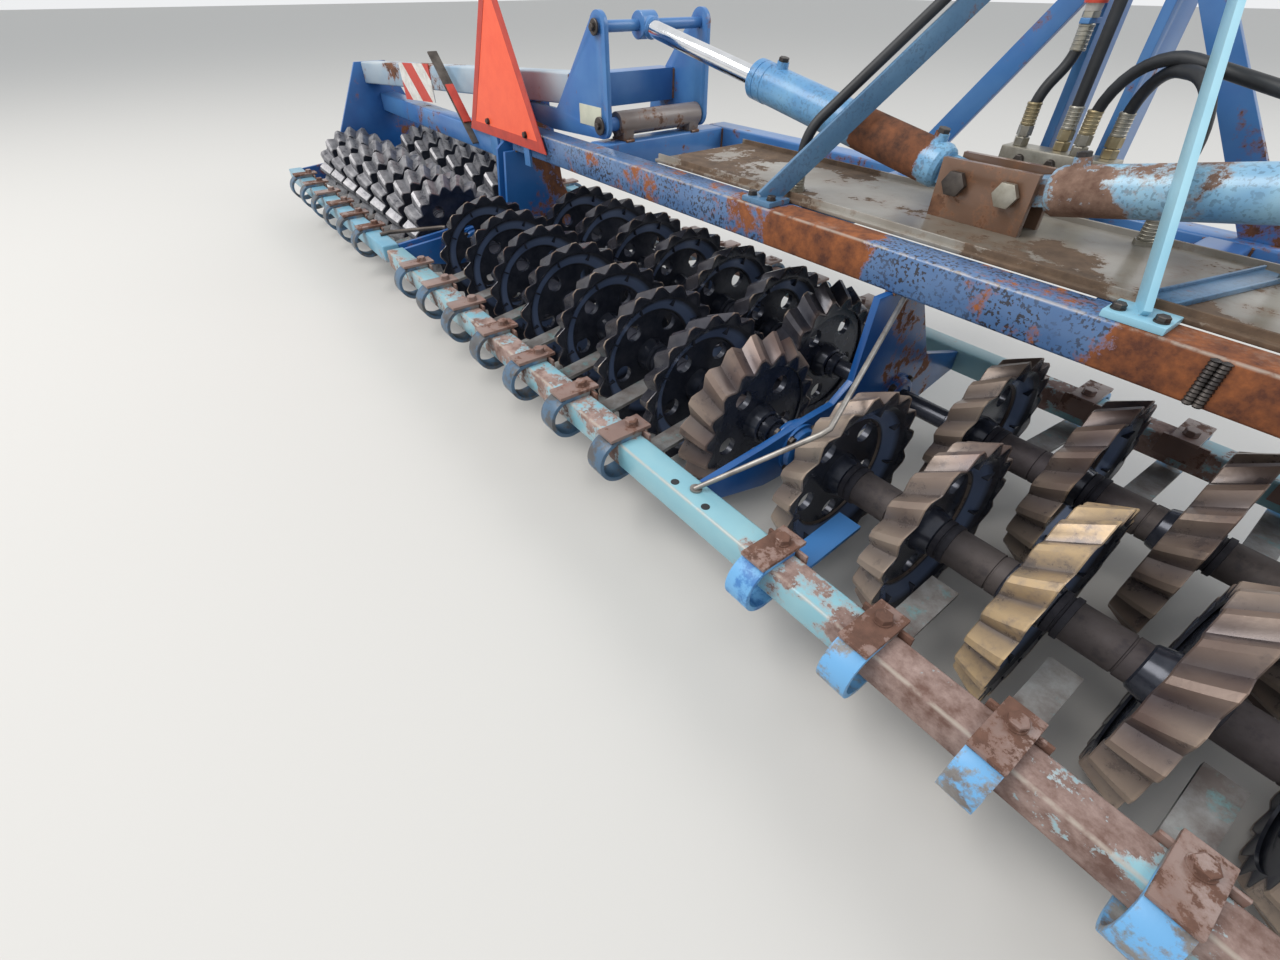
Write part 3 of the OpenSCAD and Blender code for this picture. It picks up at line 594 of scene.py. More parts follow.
# %% Turned work, boxes and tubes
def lathe(bm, profile, steps=24, matrix=LOCAL, closed=True):
    """Spin (place, radius) pairs about +Z; closed adds a flat face at both ends."""
    if closed:
        profile = [(profile[0][0], 0), *profile, (profile[-1][0], 0)]
    rings = []
    for place, radius in profile:
        rings.append([bm.verts.new(matrix @ (MM * Vector((
            radius * math.cos(math.tau * k / steps), radius * math.sin(math.tau * k / steps),
            place)))) for k in range(steps if radius > 0 else 1)])
    for low, high in zip(rings, rings[1:]):
        for k in range(steps):
            n = (k + 1) % steps
            corners = dict.fromkeys((low[k % len(low)], high[k % len(high)],
                                     high[n % len(high)], low[n % len(low)]))
            if len(corners) > 2:
                bm.faces.new(list(corners))


def bevel_all(bm, verts, width):
    """Round every edge at these corners; returns the new corners."""
    edges = list(dict.fromkeys(e for v in verts for e in v.link_edges))
    return bmesh.ops.bevel(bm, geom=edges, offset=width * MM, segments=2, profile=0.6,
                           affect="EDGES")["verts"]


def block(bm, low, high, bevel, matrix=PART):
    """A bevelled box between two corners in millimetres."""
    made = bmesh.ops.create_cube(bm, size=1)["verts"]
    for v in made:
        v.co = Vector([(v.co[i] * (high[i] - low[i]) + (low[i] + high[i]) / 2) * MM
                       for i in range(3)])
    for v in bevel_all(bm, made, bevel):
        v.co = matrix @ v.co


def sweep_tube(bm, route, radius, sides=18):
    """A closed tube along a route; each ring is turned on from the one before."""
    rings, across = [], None
    for i, point in enumerate(route):
        along = (route[min(i + 1, len(route) - 1)] - route[max(i - 1, 0)]).normalized()
        if across is None:
            across = along.orthogonal().normalized()
        across = (across - along * across.dot(along)).normalized()
        other = along.cross(across)
        rings.append([bm.verts.new(point + radius * MM * (
            math.cos(math.tau * k / sides) * across + math.sin(math.tau * k / sides) * other))
            for k in range(sides)])
    for low, high in zip(rings, rings[1:]):
        for k in range(sides):
            n = (k + 1) % sides
            bm.faces.new((low[k], low[n], high[n], high[k]))
    bm.faces.new(rings[0][::-1])
    bm.faces.new(rings[-1])


print("shapes", [shape.__name__ for shape in (lathe, block, sweep_tube)])

# %% [markdown]
# ## The four hoses
# A hose is a fixed length of something springy, so it leaves its fitting straight and bends
# in round arcs, never tighter than about four times its width. The corner points repeat the
# CAD source. A tube mesh is swept along each route.

# %% Bends of a hose
HOSE_D = 24
DECK_TOP = 573
STUB_TOP = 717
STUBS = [(-90, 584), (-8, 602), (40, 578), (92, 602)]
STAY_FOOT = Vector((400, 80, 571))
STAY_HEAD = Vector((94, 700, 1205))
COUPLER = (-60, 620, 910)
BEND = 4.4 * HOSE_D
ARC_STEPS = 10


def arc(before, point, after, radius):
    """Points of an arc that rounds the corner at point."""
    u, v = (before - point).normalized(), (after - point).normalized()
    half = u.angle(v) / 2
    sweep = math.pi - 2 * half
    centre = point + (u + v).normalized() * radius / math.sin(half)
    start = point + u * radius / math.tan(half) - centre
    end = point + v * radius / math.tan(half) - centre
    return [centre + (start * math.sin((1 - k / ARC_STEPS) * sweep)
                      + end * math.sin(k / ARC_STEPS * sweep)) / math.sin(sweep)
            for k in range(ARC_STEPS + 1)]


def rounded(corners, radii):
    """A route through these corners, each rounded to its radius."""
    corners = [Vector(c) for c in corners]
    route = [corners[0]]
    for i, radius in enumerate(radii):
        route += arc(corners[i], corners[i + 1], corners[i + 2], radius)
    return [at(*point) for point in route + [corners[-1]]]


print("bends of", round(BEND), "mm radius and more")


# %% Hose routes
def over(stub, z):
    return (*STUBS[stub], z)


on_stay = STAY_FOOT + 0.55 * (STAY_HEAD - STAY_FOOT)
ROUTES = {
    "coupler": rounded([over(0, STUB_TOP + 0.3), over(0, STUB_TOP + 58),
                        (COUPLER[0], COUPLER[1], COUPLER[2] - 68),
                        (COUPLER[0], COUPLER[1], COUPLER[2] - 10.3)], (BEND, BEND)),
    "stay": rounded([over(1, STUB_TOP + 0.3), over(1, STAY_HEAD.z),
                     (-on_stay.x, on_stay.y, on_stay.z + 2.6 * HOSE_D),
                     (-400, 190, DECK_TOP + 127), (-400, 190, DECK_TOP + 0.3)],
                    (BEND, 2 * BEND, BEND)),
    "right_long": rounded([over(2, STUB_TOP + 0.3), over(2, STUB_TOP + 165),
                           (500, 430, DECK_TOP + 230), (500, 430, DECK_TOP + 0.3)],
                          (1.2 * BEND, 1.6 * BEND)),
    "right_short": rounded([over(3, STUB_TOP + 0.3), over(3, STUB_TOP + 125),
                            (270, 440, DECK_TOP + 269), (270, 440, DECK_TOP + 0.3)],
                           (BEND, BEND))}
print("points of the routes", {name: len(route) for name, route in ROUTES.items()})

# %% Sweep the hoses
for name, route in ROUTES.items():
    bm = bmesh.new()
    sweep_tube(bm, route, HOSE_D / 2)
    hose = finish_piece("hose_" + name, bm, "frame", rubber, 50)
    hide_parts("hoses")

# %% [markdown]
# ## Rounded edges on the frame
# Rolled tubes and flame-cut plates have no knife edges, and it is the rounded edge that
# catches the light. Each beam and plate keeps its CAD shape: a merged copy of its mesh gets
# a narrow bevel, takes the node's place and rides on the same body.

# %% Soften the steelwork
def soften(node, width, material):
    bm = bmesh.new()
    bm.from_mesh(nodes[node].data)
    bmesh.ops.remove_doubles(bm, verts=bm.verts, dist=2e-5)
    bmesh.ops.dissolve_limit(bm, angle_limit=math.radians(1), verts=bm.verts, edges=bm.edges)
    piece = new_object("soft_" + node, mesh_from(bm, "soft_" + node, outward=False))
    piece.data.materials.append(material)
    bevel = piece.modifiers.new("edge", "BEVEL")
    bevel.width = width * MM
    bevel.segments = 2
    bevel.limit_method = "ANGLE"
    bevel.angle_limit = math.radians(40)
    piece.data = plain_mesh(piece)
    piece.modifiers.clear()
    smooth_by_angle(piece.data, 30)
    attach(piece, BODY_OF[node])
    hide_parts(node)


SOFTENED = [
    ("rear_beam", 6, rear_paint), ("front_beam", 6, blue), ("cross_beams", 6, blue),
    ("headstock", 2, blue), ("deck_plates", 1.2, deck), ("cylinder_anchor", 1.5, rusty),
    ("hinge_tubes", 1.5, tube_paint), ("scraper_bars_middle", 5, bar_paint),
    ("scrapers_middle_rear", 1.2, leaf_steel), ("scrapers_middle_front", 1.2, leaf_steel)]
for side in SIDES.values():
    SOFTENED += [
        ("wing_beam_" + side, 6, pale_blue), ("wing_rear_beam_" + side, 6, blue),
        ("wing_lever_" + side, 1.5, blue), ("scraper_bars_" + side, 5, wing_bar_paint),
        ("scrapers_" + side, 1.2, leaf_steel)]
for node, width, material in SOFTENED:
    soften(node, width, material)
print("softened", len(SOFTENED), "nodes")

# %% [markdown]
# ## The toothed rings
# Each ring is a cast cone with eighteen slanted teeth. The rim is worked out from its rule:
# the radius falls from each crest to the gap beside it, and the crests turn as they cross
# the tread. A boolean for each gap would be slow and leave slivers, so the rim is drawn
# row by row from the rule, and Geometry Nodes set the finished ring out along its shaft.

# %% Ring sizes
RING_R = 198.5
HALF_W = 42
TREAD_W = 60
RING_PITCH = 200
TEETH = 18
TOOTH = 20
DROP = 28
LUGS = 9
WEB_HOLES = 5
HUB_LEN = 76
REST_TURN = math.radians(10)
RING_SHARP = 17

# How far below its crest a tooth lies at each tenth of its pitch
TOOTH_LEVELS = (0.0, 0.0, 0.27, 0.55, 0.83, 1.0, 0.83, 0.55, 0.27, 0.0)
RIM_POINTS = TEETH * len(TOOTH_LEVELS)
SLANT_STEPS = 4
SLANT = math.tau * SLANT_STEPS / RIM_POINTS
GAP_FADE = 0.55
print("rim of", RIM_POINTS, "points, slant", round(math.degrees(SLANT), 1), "degrees")


# %% The toothed rim
def ring_mesh(sign):
    """A rim along X, its big side towards +X where sign is 1."""
    bm = bmesh.new()
    wear = bm.verts.layers.float.new("wear")

    def row(depth, radius, turn=0.0, worn=0.0, tooth=0):
        """A closed row of points, whose gaps lie tooth deep and are less worn."""
        verts = []
        for k in range(RIM_POINTS):
            level = TOOTH_LEVELS[k % len(TOOTH_LEVELS)] if tooth else 0
            angle = math.tau * k / RIM_POINTS + turn
            reach = radius - tooth * level
            v = bm.verts.new(MM * Vector((depth, reach * math.cos(angle), reach * math.sin(angle))))
            v[wear] = worn * (1 - GAP_FADE * level)
            verts.append(v)
        return verts

    def tread(across, inset=0.0, worn=0.8):
        """One line of the tread, which turns with the teeth it lies on."""
        return row(TREAD_W * across, RING_R - DROP * across - inset, SLANT * across, worn, TOOTH)

    # Rows marked -1 are the dish band behind the rim, which carries a painted reflection.
    rows = [row(49, 122), row(34.5, 122, 0, 0.6), row(31, 124.5, 0, 0.4),
            row(28, 129.5, 0, -1), row(17, 148, 0, -1), row(9, 161), row(4.5, 166.5),
            row(3, 171), tread(0.018, 7, 0), tread(0, 2.2, 1.1), tread(0.03, 0, 1)]
    rows += [tread(across) for across in (0.09, 0.25, 0.45, 0.65, 0.85, 0.97)]
    rows += [tread(1, 2.2, 0.9), tread(0.98, 8, 0), row(TREAD_W - 3, 140, SLANT),
             row(TREAD_W - 7, 138.5, SLANT), row(51, 147, SLANT)]
    rows.append(rows[0][SLANT_STEPS:] + rows[0][:SLANT_STEPS])
    for low, high in zip(rows, rows[1:]):
        for k in range(RIM_POINTS):
            n = (k + 1) % RIM_POINTS
            bm.faces.new((low[k], high[k], high[n], low[n]))
    for k in range(LUGS):
        turn = Matrix.Rotation(math.tau * (k + 0.5) / LUGS, 4, "X")
        block(bm, (8.5, 140, -2.2), (26, 164, 2.2), 1.2, turn)
    bm.transform(Matrix.Rotation(REST_TURN, 4, "X")
                 @ Matrix.Translation((-HALF_W * MM, 0, 0)))
    bm.transform(Matrix.Scale(-sign, 4, (1, 0, 0)))
    return bm


print("a rim runs from", RING_R - DROP, "to", RING_R, "mm radius")


# %% Web, hub and spacer
def wheel_mesh():
    """Web with its holes and hub of one ring, as a mesh along X."""
    disc, holes = bmesh.new(), bmesh.new()
    lathe(disc, [(-7, 150), (7, 150)], 72)
    for k in range(WEB_HOLES):
        place = Matrix.Rotation(math.tau * k / WEB_HOLES, 4, "Z") @ Matrix.Translation(
            (96.5 * MM, 0, 0))
        lathe(holes, [(-50, 23), (50, 23)], 28, place)
    web, punch = (new_object(n, mesh_from(b, n)) for n, b in (("web", disc), ("holes", holes)))
    cut = web.modifiers.new("cut", "BOOLEAN")
    cut.operation = "DIFFERENCE"
    cut.object = punch
    bm = bmesh.new()
    bm.from_mesh(plain_mesh(web))
    for tool in (web, punch):
        bpy.data.objects.remove(tool)
    hub = HUB_LEN / 2
    lathe(bm, [(-hub, 36), (-hub + 3, 40), (-20, 44), (-9, 47), (9, 47), (20, 44),
               (hub - 3, 40), (hub, 36)], 32)
    bm.transform(ALONG_X)
    return mesh_from(bm, "wheel", outward=False)


def one_ring(sign):
    bm = ring_mesh(sign)
    bm.from_mesh(wheel_mesh())
    return tool_object("ring_shape", bm, RING_SHARP)


def spacer_shape():
    """The tube between two hubs, with the turned collars that show at its ends."""
    half = (RING_PITCH - HUB_LEN) / 2
    bm = bmesh.new()
    wear = bm.verts.layers.float.new("wear")
    lathe(bm, [(-half, 39), (10 - half, 39), (11 - half, 35), (15 - half, 35), (16 - half, 39),
               (26 - half, 39), (27 - half, 35.5), (half - 22, 35.5), (half - 21, 33.5),
               (half - 19, 33.5), (half - 18, 36), (half, 36)], 32, ALONG_X)
    for v in bm.verts:
        v[wear] = 0.22 if v.co.x > (26.5 - half) * MM else 0.08
    return tool_object("spacer_shape", bm)


RING_SHAPE = {sign: one_ring(sign) for sign in (-1, 1)}
SPACER = spacer_shape()
print("one ring has", len(RING_SHAPE[1].data.polygons), "faces")


# %% The end that both node trees share
def start_tree(name, inputs):
    """Geometry Nodes: Shape on every point, realized and given its Material.

    Returns the tree, its inputs and the inputs of the node that spreads the shape.
    """
    tree = bpy.data.node_groups.new(name, "GeometryNodeTree")
    face = tree.interface
    common = [("Geometry", "NodeSocketGeometry", None), ("Shape", "NodeSocketObject", None),
              ("Material", "NodeSocketMaterial", None)]
    for title, kind, value in common + inputs:
        socket = face.new_socket(name=title, in_out="INPUT", socket_type=kind)
        if value is not None:
            socket.default_value = value
    face.new_socket(name="Geometry", in_out="OUTPUT", socket_type="NodeSocketGeometry")
    given = tree.nodes.new("NodeGroupInput").outputs
    info = tree.nodes.new("GeometryNodeObjectInfo")
    info.inputs["As Instance"].default_value = True
    spread = tree.nodes.new("GeometryNodeInstanceOnPoints")
    real = tree.nodes.new("GeometryNodeRealizeInstances")
    paint = tree.nodes.new("GeometryNodeSetMaterial")
    for source, socket in (
            (given["Shape"], info.inputs["Object"]),
            (info.outputs["Geometry"], spread.inputs["Instance"]),
            (spread.outputs[0], real.inputs[0]), (real.outputs[0], paint.inputs["Geometry"]),
            (given["Material"], paint.inputs["Material"]),
            (paint.outputs[0], tree.nodes.new("NodeGroupOutput").inputs[0])):
        tree.links.new(source, socket)
    return tree, given, spread.inputs


print("each tree ends in a realized shape with its material")


# %% Shapes in a line and on points
def build_line_tree():
    """Count copies of Shape in a line along X, from First on."""
    tree, given, spread = start_tree("set_out_on_shaft", [
        ("Count", "NodeSocketInt", 4), ("First", "NodeSocketVector", (0, 0, 0)),
        ("Pitch", "NodeSocketFloat", 0.2)])
    line = tree.nodes.new("GeometryNodeMeshLine")
    line.mode = "OFFSET"
    step = tree.nodes.new("ShaderNodeCombineXYZ")
    for source, socket in (
            (given["Pitch"], step.inputs["X"]), (given["Count"], line.inputs["Count"]),
            (given["First"], line.inputs["Start Location"]),
            (step.outputs[0], line.inputs["Offset"]), (line.outputs[0], spread["Points"])):
        tree.links.new(source, socket)
    return tree


def build_point_tree():
    """Shape on every point of the given mesh, turned along the point's aim."""
    tree, given, spread = start_tree("stand_on_points", [("Size", "NodeSocketFloat", 1.0)])
    aim = tree.nodes.new("GeometryNodeInputNamedAttribute")
    aim.data_type = "FLOAT_VECTOR"
    aim.inputs["Name"].default_value = "aim"
    turn = tree.nodes.new("FunctionNodeAlignRotationToVector")
    turn.axis = "Z"
    for source, socket in (
            (aim.outputs["Attribute"], turn.inputs["Vector"]),
            (given["Geometry"], spread["Points"]), (turn.outputs["Rotation"], spread["Rotation"]),
            (given["Size"], spread["Scale"])):
        tree.links.new(source, socket)
    return tree


LINE_TREE = build_line_tree()
POINT_TREE = build_point_tree()
print("node trees", LINE_TREE.name, POINT_TREE.name)


# %% Run a tree
def run_tree(name, tree, start_mesh=None, **values):
    """Run a tree with these inputs and return its result as a plain mesh."""
    holder = new_object(name, start_mesh or bpy.data.meshes.new(name))
    modifier = holder.modifiers.new("tree", "NODES")
    modifier.node_group = tree
    for item in tree.interface.items_tree:
        if item.in_out == "INPUT" and item.name in values:
            modifier[item.identifier] = values[item.name]
    made = plain_mesh(holder)
    bpy.data.objects.remove(holder)
    return made


print("inputs of a line", [item.name for item in LINE_TREE.interface.items_tree
                           if item.in_out == "INPUT"])

# %% [markdown]
# ## Eight rollers
# A roller is one shaft with its rings, the spacer tubes between them and a set collar at
# each end. The middle's last left ring is turned round, as it is in the photograph.

# %% Shafts and collars
MID_END = 1630
WING_IN = 1690
WING_OUT = 3120
END_GAP = 115


def shaft_and_collars(first, last, low, high, y):
    bm = bmesh.new()
    place = Matrix.Translation(at(0, y, AXLE_Z)) @ ALONG_X
    lathe(bm, [(low, 20.5), (low + 2, 22.5), (high - 2, 22.5), (high, 20.5)], 32, place)
    for x, out in ((first - HUB_LEN / 2, -1), (last + HUB_LEN / 2, 1)):
        a, b = sorted((x + out * 0.5, x + out * 23.5))
        lathe(bm, [(a, 31), (a + 2, 33), (b - 2, 33), (b, 31)], 32, place)
        for spin in (0.4, 2.5, 4.6):
            screw = place @ Matrix.Translation((0, 0, (a + b) / 2 * MM)) @ Matrix.Rotation(
                spin, 4, "Z") @ Matrix.Translation((32.5 * MM, 0, 0)) @ ALONG_X
            lathe(bm, [(0, 6), (4, 6), (5, 5), (5, 0)], 6, screw, closed=False)
    return bm


print("shafts reach to", MID_END, "and", WING_OUT, "mm from the middle")


# %% Dress the eight rollers
def dress_roller(section, side, row):
    rear, middle = row == "rear", section == "middle"
    rings = (8 if middle else 7) - (0 if rear else 1)
    near = (0 if middle else WING_IN) + END_GAP + (0 if rear else RING_PITCH / 2)
    far = near + (rings - 1) * RING_PITCH
    low, high = (3, MID_END + 6) if middle else (WING_IN - 6, WING_OUT + 6)
    if side == "left":
        near, far, low, high = -far, -near, -high, -low
    y = -ROW_Y if rear else ROW_Y
    bm = shaft_and_collars(near, far, low, high, y)
    groups = [(RING_SHAPE[-1 if (section, side) == ("wing", "left") else 1], near, rings)]
    if middle and side == "left":
        groups = [(RING_SHAPE[1], near, rings - 1), (RING_SHAPE[-1], far, 1)]
    groups.append((SPACER, near + RING_PITCH / 2, rings - 1))
    place = "_".join((section, side, row))
    name = "dressed_roller_" + place
    for shape, x, count in groups:
        bm.from_mesh(run_tree(name, LINE_TREE, Shape=shape, Count=count, Material=ring_iron,
                              First=at(x, y, AXLE_Z), Pitch=RING_PITCH * MM))
    mesh = mesh_from(bm, name, RING_SHARP, outward=False)
    mesh.materials.clear()
    mesh.materials.append(ring_iron)
    piece = new_object(name, mesh)
    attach(piece, "rings_" + place)
    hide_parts("roller_" + place)
    print(name, len(mesh.polygons), "faces")


for section in ("middle", "wing"):
    for side in SIDES.values():
        for row in ("rear", "front"):
            dress_roller(section, side, row)
for tool in (*RING_SHAPE.values(), SPACER):
    bpy.data.objects.remove(tool)

# %% [markdown]
# ## Side plates with their bearings
# The rollers hang in flame-cut plates. A plate is one outline pulled to its thickness, with
# a round bearing housing on a flange at each shaft. Behind the beam it drops straight and
# then reaches back as a low arm to the scraper bar, which the rings hide.

# %% Plates and housings
PLATE_T = 16
FLANGE_T = 7
BOLT_CIRCLE = 48
ARM = [(-445, 175), (-265, 130), (265, 130), (445, 175), (445, 225), (275, 275)]
LOW_BACK = [(-18, 300), (-70, 262), (-150, 256), (-275, 240), (-445, 225)]
MIDDLE_OUTLINE = ARM + [(150, 485), (0, 485)] + LOW_BACK
INNER_OUTLINE = ARM + [(236, 630), (126, 630), (126, 532), (60, 532), (34, 511), (14, 497),
                       (0, 486)] + LOW_BACK
OUTER_OUTLINE = ARM + [(105, 655), (-50, 655), (-235, 310), (-275, 240), (-445, 225)]
BOLT_PLACES = {"frame": [], "wing_left": [], "wing_right": []}


print("corners of the plates", [len(o) for o in (MIDDLE_OUTLINE, INNER_OUTLINE, OUTER_OUTLINE)])


# %% One plate with its housings
def bolt(body, place, way):
    """Note a bolt at a place of the CAD source; all of them are stood at the end."""
    BOLT_PLACES[body].append((at(*place), Vector(way)))


def plate(bm, x, outline):
    """An outline in (y, z) of the CAD source, pulled to a plate round x."""
    low = [bm.verts.new(at(x - PLATE_T / 2, y, z)) for y, z in outline]
    pulled = bmesh.ops.extrude_face_region(bm, geom=[bm.faces.new(low)])["geom"]
    high = [g for g in pulled if isinstance(g, bmesh.types.BMVert)]
    bmesh.ops.translate(bm, verts=high, vec=(PLATE_T * MM, 0, 0))
    bevel_all(bm, low + high, 1.5)


def housing(bm, x, y, side):
    """A bearing housing on the plate's face at x, standing out towards side."""
    lathe(bm, [(0, 22.8), (0, 54.5), (7, 55), (8, 49), (18, 45.5), (21.5, 40), (22, 33),
               (19, 32), (19, 22.8), (0, 22.8)], 40,
          facing(at(x, y, AXLE_Z), (side, 0, 0)), closed=False)


def plates_piece(name, node, body, plates):
    """Plates of one body; each is (x, outline, the sides that carry housings)."""
    bm = bmesh.new()
    for x, outline, sides in plates:
        plate(bm, x, outline)
        for y in (-ROW_Y, ROW_Y):
            for side in (-1, 1):
                face_x = x + side * PLATE_T / 2
                if side in sides:
                    housing(bm, face_x, y, side)
                    face_x += side * FLANGE_T
                for k in range(4):
                    turn = math.radians(45 + 90 * k)
                    bolt(body, (face_x, y + BOLT_CIRCLE * math.cos(turn),
                                AXLE_Z + BOLT_CIRCLE * math.sin(turn)), (side, 0, 0))
    bmesh.ops.remove_doubles(bm, verts=bm.verts, dist=1e-6)
    piece = finish_piece(name, bm, body, plate_blue, replaces=node)
    print(name, len(piece.data.polygons), "faces")


plates_piece("plates_middle", "side_plates", "frame", [
    (-MID_END, MIDDLE_OUTLINE, (1,)), (0, MIDDLE_OUTLINE, (-1, 1)),
    (MID_END, MIDDLE_OUTLINE, (-1,))])
for way, side in SIDES.items():
    plates_piece("plates_wing_" + side, "wing_plates_" + side, "wing_" + side, [
        (way * WING_IN, INNER_OUTLINE, (way,)), (way * WING_OUT, OUTER_OUTLINE, (-way,))])

# %% [markdown]
# ## Clamps of the scraper leaves
# Every leaf is held on its bar by a square plate and one hex bolt. They repeat at the ring
# pitch, so one plate and one bolt are made, and the tree that set out the rings does these.

# %% Clamp plate and bolt
LEAF_TOP = 239.6
BAR_Y = 475
# Each row is (first x, count, rear or front)
LEAF_ROWS = {
    "frame": [(-1415, 7, -1), (215, 7, -1), (-1315, 6, 1), (315, 6, 1)],
    "wing_left": [(-2905, 6, -1), (-2805, 5, 1)],
    "wing_right": [(1905, 6, -1), (2005, 5, 1)]}


def hex_bolt(name, across, height, washer=2.4):
    """A bolt head that stands up along +Z, on a washer of this thickness."""
    bm = bmesh.new()
    corner = across / math.sqrt(3)
    top = washer + height
    if washer:
        lathe(bm, [(0, across * 0.62), (washer, across * 0.62)], 20)
    lathe(bm, [(washer, corner), (top - 1.2, corner), (top, corner * 0.87)], 6)
    return tool_object(name, bm, 20)


def clamp_plate():
    bm = bmesh.new()
    block(bm, (-26, -51, 0), (26, 53, 8), 1.6, LOCAL)
    block(bm, (-40, 31.5, -48), (46, 37.5, -1), 1.4, LOCAL)
    return tool_object("clamp_plate", bm)


def set_out(name, body, shape, rows, back, up):
    """One piece from several rows of a shape, back from the bar's middle and up."""
    bm = bmesh.new()
    for x, count, row in rows:
        start = at(x, row * (BAR_Y - back), LEAF_TOP + up)
        line = run_tree(name, LINE_TREE, Shape=shape, Count=count, First=start,
                        Pitch=RING_PITCH * MM, Material=clamp_paint)
        if row > 0:
            line.transform(Matrix.Translation((0, 2 * start.y, 0)) @ Matrix.Scale(-1, 4, (0, 1, 0)))
            line.flip_normals()
        bm.from_mesh(line)
    finish_piece(name, bm, body, clamp_paint, 32)


CLAMP = clamp_plate()
BOLT_16 = hex_bolt("bolt_16", 24, 10)
BOLT_12 = hex_bolt("bolt_12", 18, 7.5)
for body, rows in LEAF_ROWS.items():
    set_out("clamps_" + body, body, CLAMP, rows, 0, 0)
    set_out("clamp_bolts_" + body, body, BOLT_16, rows, 20, 8)

# %% [markdown]
# ## Bolts and welds
# Other bolts point in all directions. Their tree takes a mesh of bare points, each with an
# attribute that says which way its bolt looks, and stands the same shape on every point. A
# weld is a bead of small overlapping ripples: a rippled rod is spun along each seam and half
# sunk in the corner, so that only the bead shows.

# %% Bolts that stand anywhere
def stand_bolts(name, body, material, shape, places):
    """One piece of bolts, each on its point and looking along its direction."""
    mesh = bpy.data.meshes.new(name)
    mesh.from_pydata([spot for spot, _ in places], [], [])
    aim = mesh.attributes.new("aim", "FLOAT_VECTOR", "POINT")
    for k, (_, way) in enumerate(places):
        aim.data[k].vector = way
    bm = bmesh.new()
    bm.from_mesh(run_tree(name, POINT_TREE, mesh, Shape=shape, Material=material))
    finish_piece(name, bm, body, material, 32)
    print(name, len(places))


# %% Weld beads
WELD_STEP = 6


def weld_piece(name, body, seams, material, radius=5):
    """Rippled beads between places of the CAD source."""
    bm = bmesh.new()
    for start, end in seams:
        a, b = at(*start), at(*end)
        length = (b - a).length / MM
        count = max(int(length / WELD_STEP), 2)
        step = length / count
        profile = [(0, 0)]
        for k in range(count):
            profile += [((k + 0.15) * step, radius * 0.78), ((k + 0.55) * step, radius)]
        lathe(bm, profile + [(length, 0)], 8, facing(a, b - a), closed=False)
    finish_piece(name, bm, body, material, 50)
    print(name, len(seams), "seams")


print("ripples", WELD_STEP, "mm apart")

# %% Seams of the frame
seams = []
for x in (-MID_END, 0, MID_END):
    seams += [((x + side, 42, 484), (x + side, 118, 484)) for side in (-8, 8)]
for x in (-1230, -1150, -400, -320, 320, 400, 1150, 1230):
    seams += [((x, y, 490), (x, y, 562)) for y in (120, 640)]
for x in (-70, -50, 50, 70):
    seams.append(((x, 644, 565), (x, 716, 565)))
for x in (-1228, -1152, 1152, 1228):
    seams += [((x, y, 566), (x, y + 36, 566)) for y in (212, 492)]
weld_piece("welds_frame", "frame", seams, rusty)
weld_piece("beam_splice", "frame", [((x, 39, 487), (x, 39, 563)) for x in (517, 530)],
           dark_steel, 8)

# %% [markdown]
# ## Stays of the mast
# Two flat bars brace the mast. Each stands on a small foot plate with two bolts, and its
# lower end is bent to lie on it. The left one is dark blue and the right one pale.

# %% Stays
def stay(side, material):
    bm = bmesh.new()
    run = STAY_HEAD - STAY_FOOT
    run.x *= side
    foot_x = side * STAY_FOOT.x
    normal = UP.cross(Vector((run.x, run.y, 0)).normalized()).normalized()
    along = run.normalized()
    turn = Matrix((along, normal, normal.cross(along).normalized())).transposed().to_4x4()
    place = Matrix.Translation(at(foot_x, STAY_FOOT.y, STAY_FOOT.z)) @ turn
    block(bm, (-4, -6, -25), (run.length, 6, 25), 2.5, place)
    block(bm, (foot_x - 45, 45, 565.2), (foot_x + 45, 115, 577.2), 2.5)
    block(bm, (side * 85 - 15, 680, 1175), (side * 85 + 15, 720, 1215), 2)
    for x in (-30, 30):
        bolt("frame", (foot_x + x, 66, 577.2), UP)
    bolt("frame", (side * 100, 700, 1195), (side, 0, 0))
    finish_piece("stay_" + SIDES[side], bm, "frame", material,
                 replaces="mast_stays")


stay(-1, stay_paint)
stay(1, pale_stay)
print("stay length", round((STAY_HEAD - STAY_FOOT).length), "mm")

# %% [markdown]
# ## Valve block and hose fittings
# The hoses start from a block between the deck and the mast. Every hose end has the same
# three parts: a hexagonal adaptor, a swivel nut and a crimped sleeve round the rubber. The
# spare hose ends in a coupler with red dust caps, parked on a bracket of the mast.

# %% Adaptor and crimped sleeve
ADAPTOR_LEN = 42
NUT_CORNER = 29 / math.sqrt(3)
BLOCK_TOP = 675
CRIMPS = 5


def adaptor(bm, place):
    """Hexagonal adaptor and swivel nut that end where a hose begins."""
    low, corner = 0.4 * ADAPTOR_LEN, NUT_CORNER
    lathe(bm, [(0, corner * 0.9), (1.5, corner), (low, corner), (low + 1.5, corner * 0.9)], 6,
          place)
    lathe(bm, [(low, 10.5), (0.52 * ADAPTOR_LEN, 10.5)], 20, place)
    lathe(bm, [(0.5 * ADAPTOR_LEN, corner * 0.95), (ADAPTOR_LEN - 2, corner * 0.95),
               (ADAPTOR_LEN, corner * 0.82)], 6, place @ Matrix.Rotation(0.3, 4, "Z"))


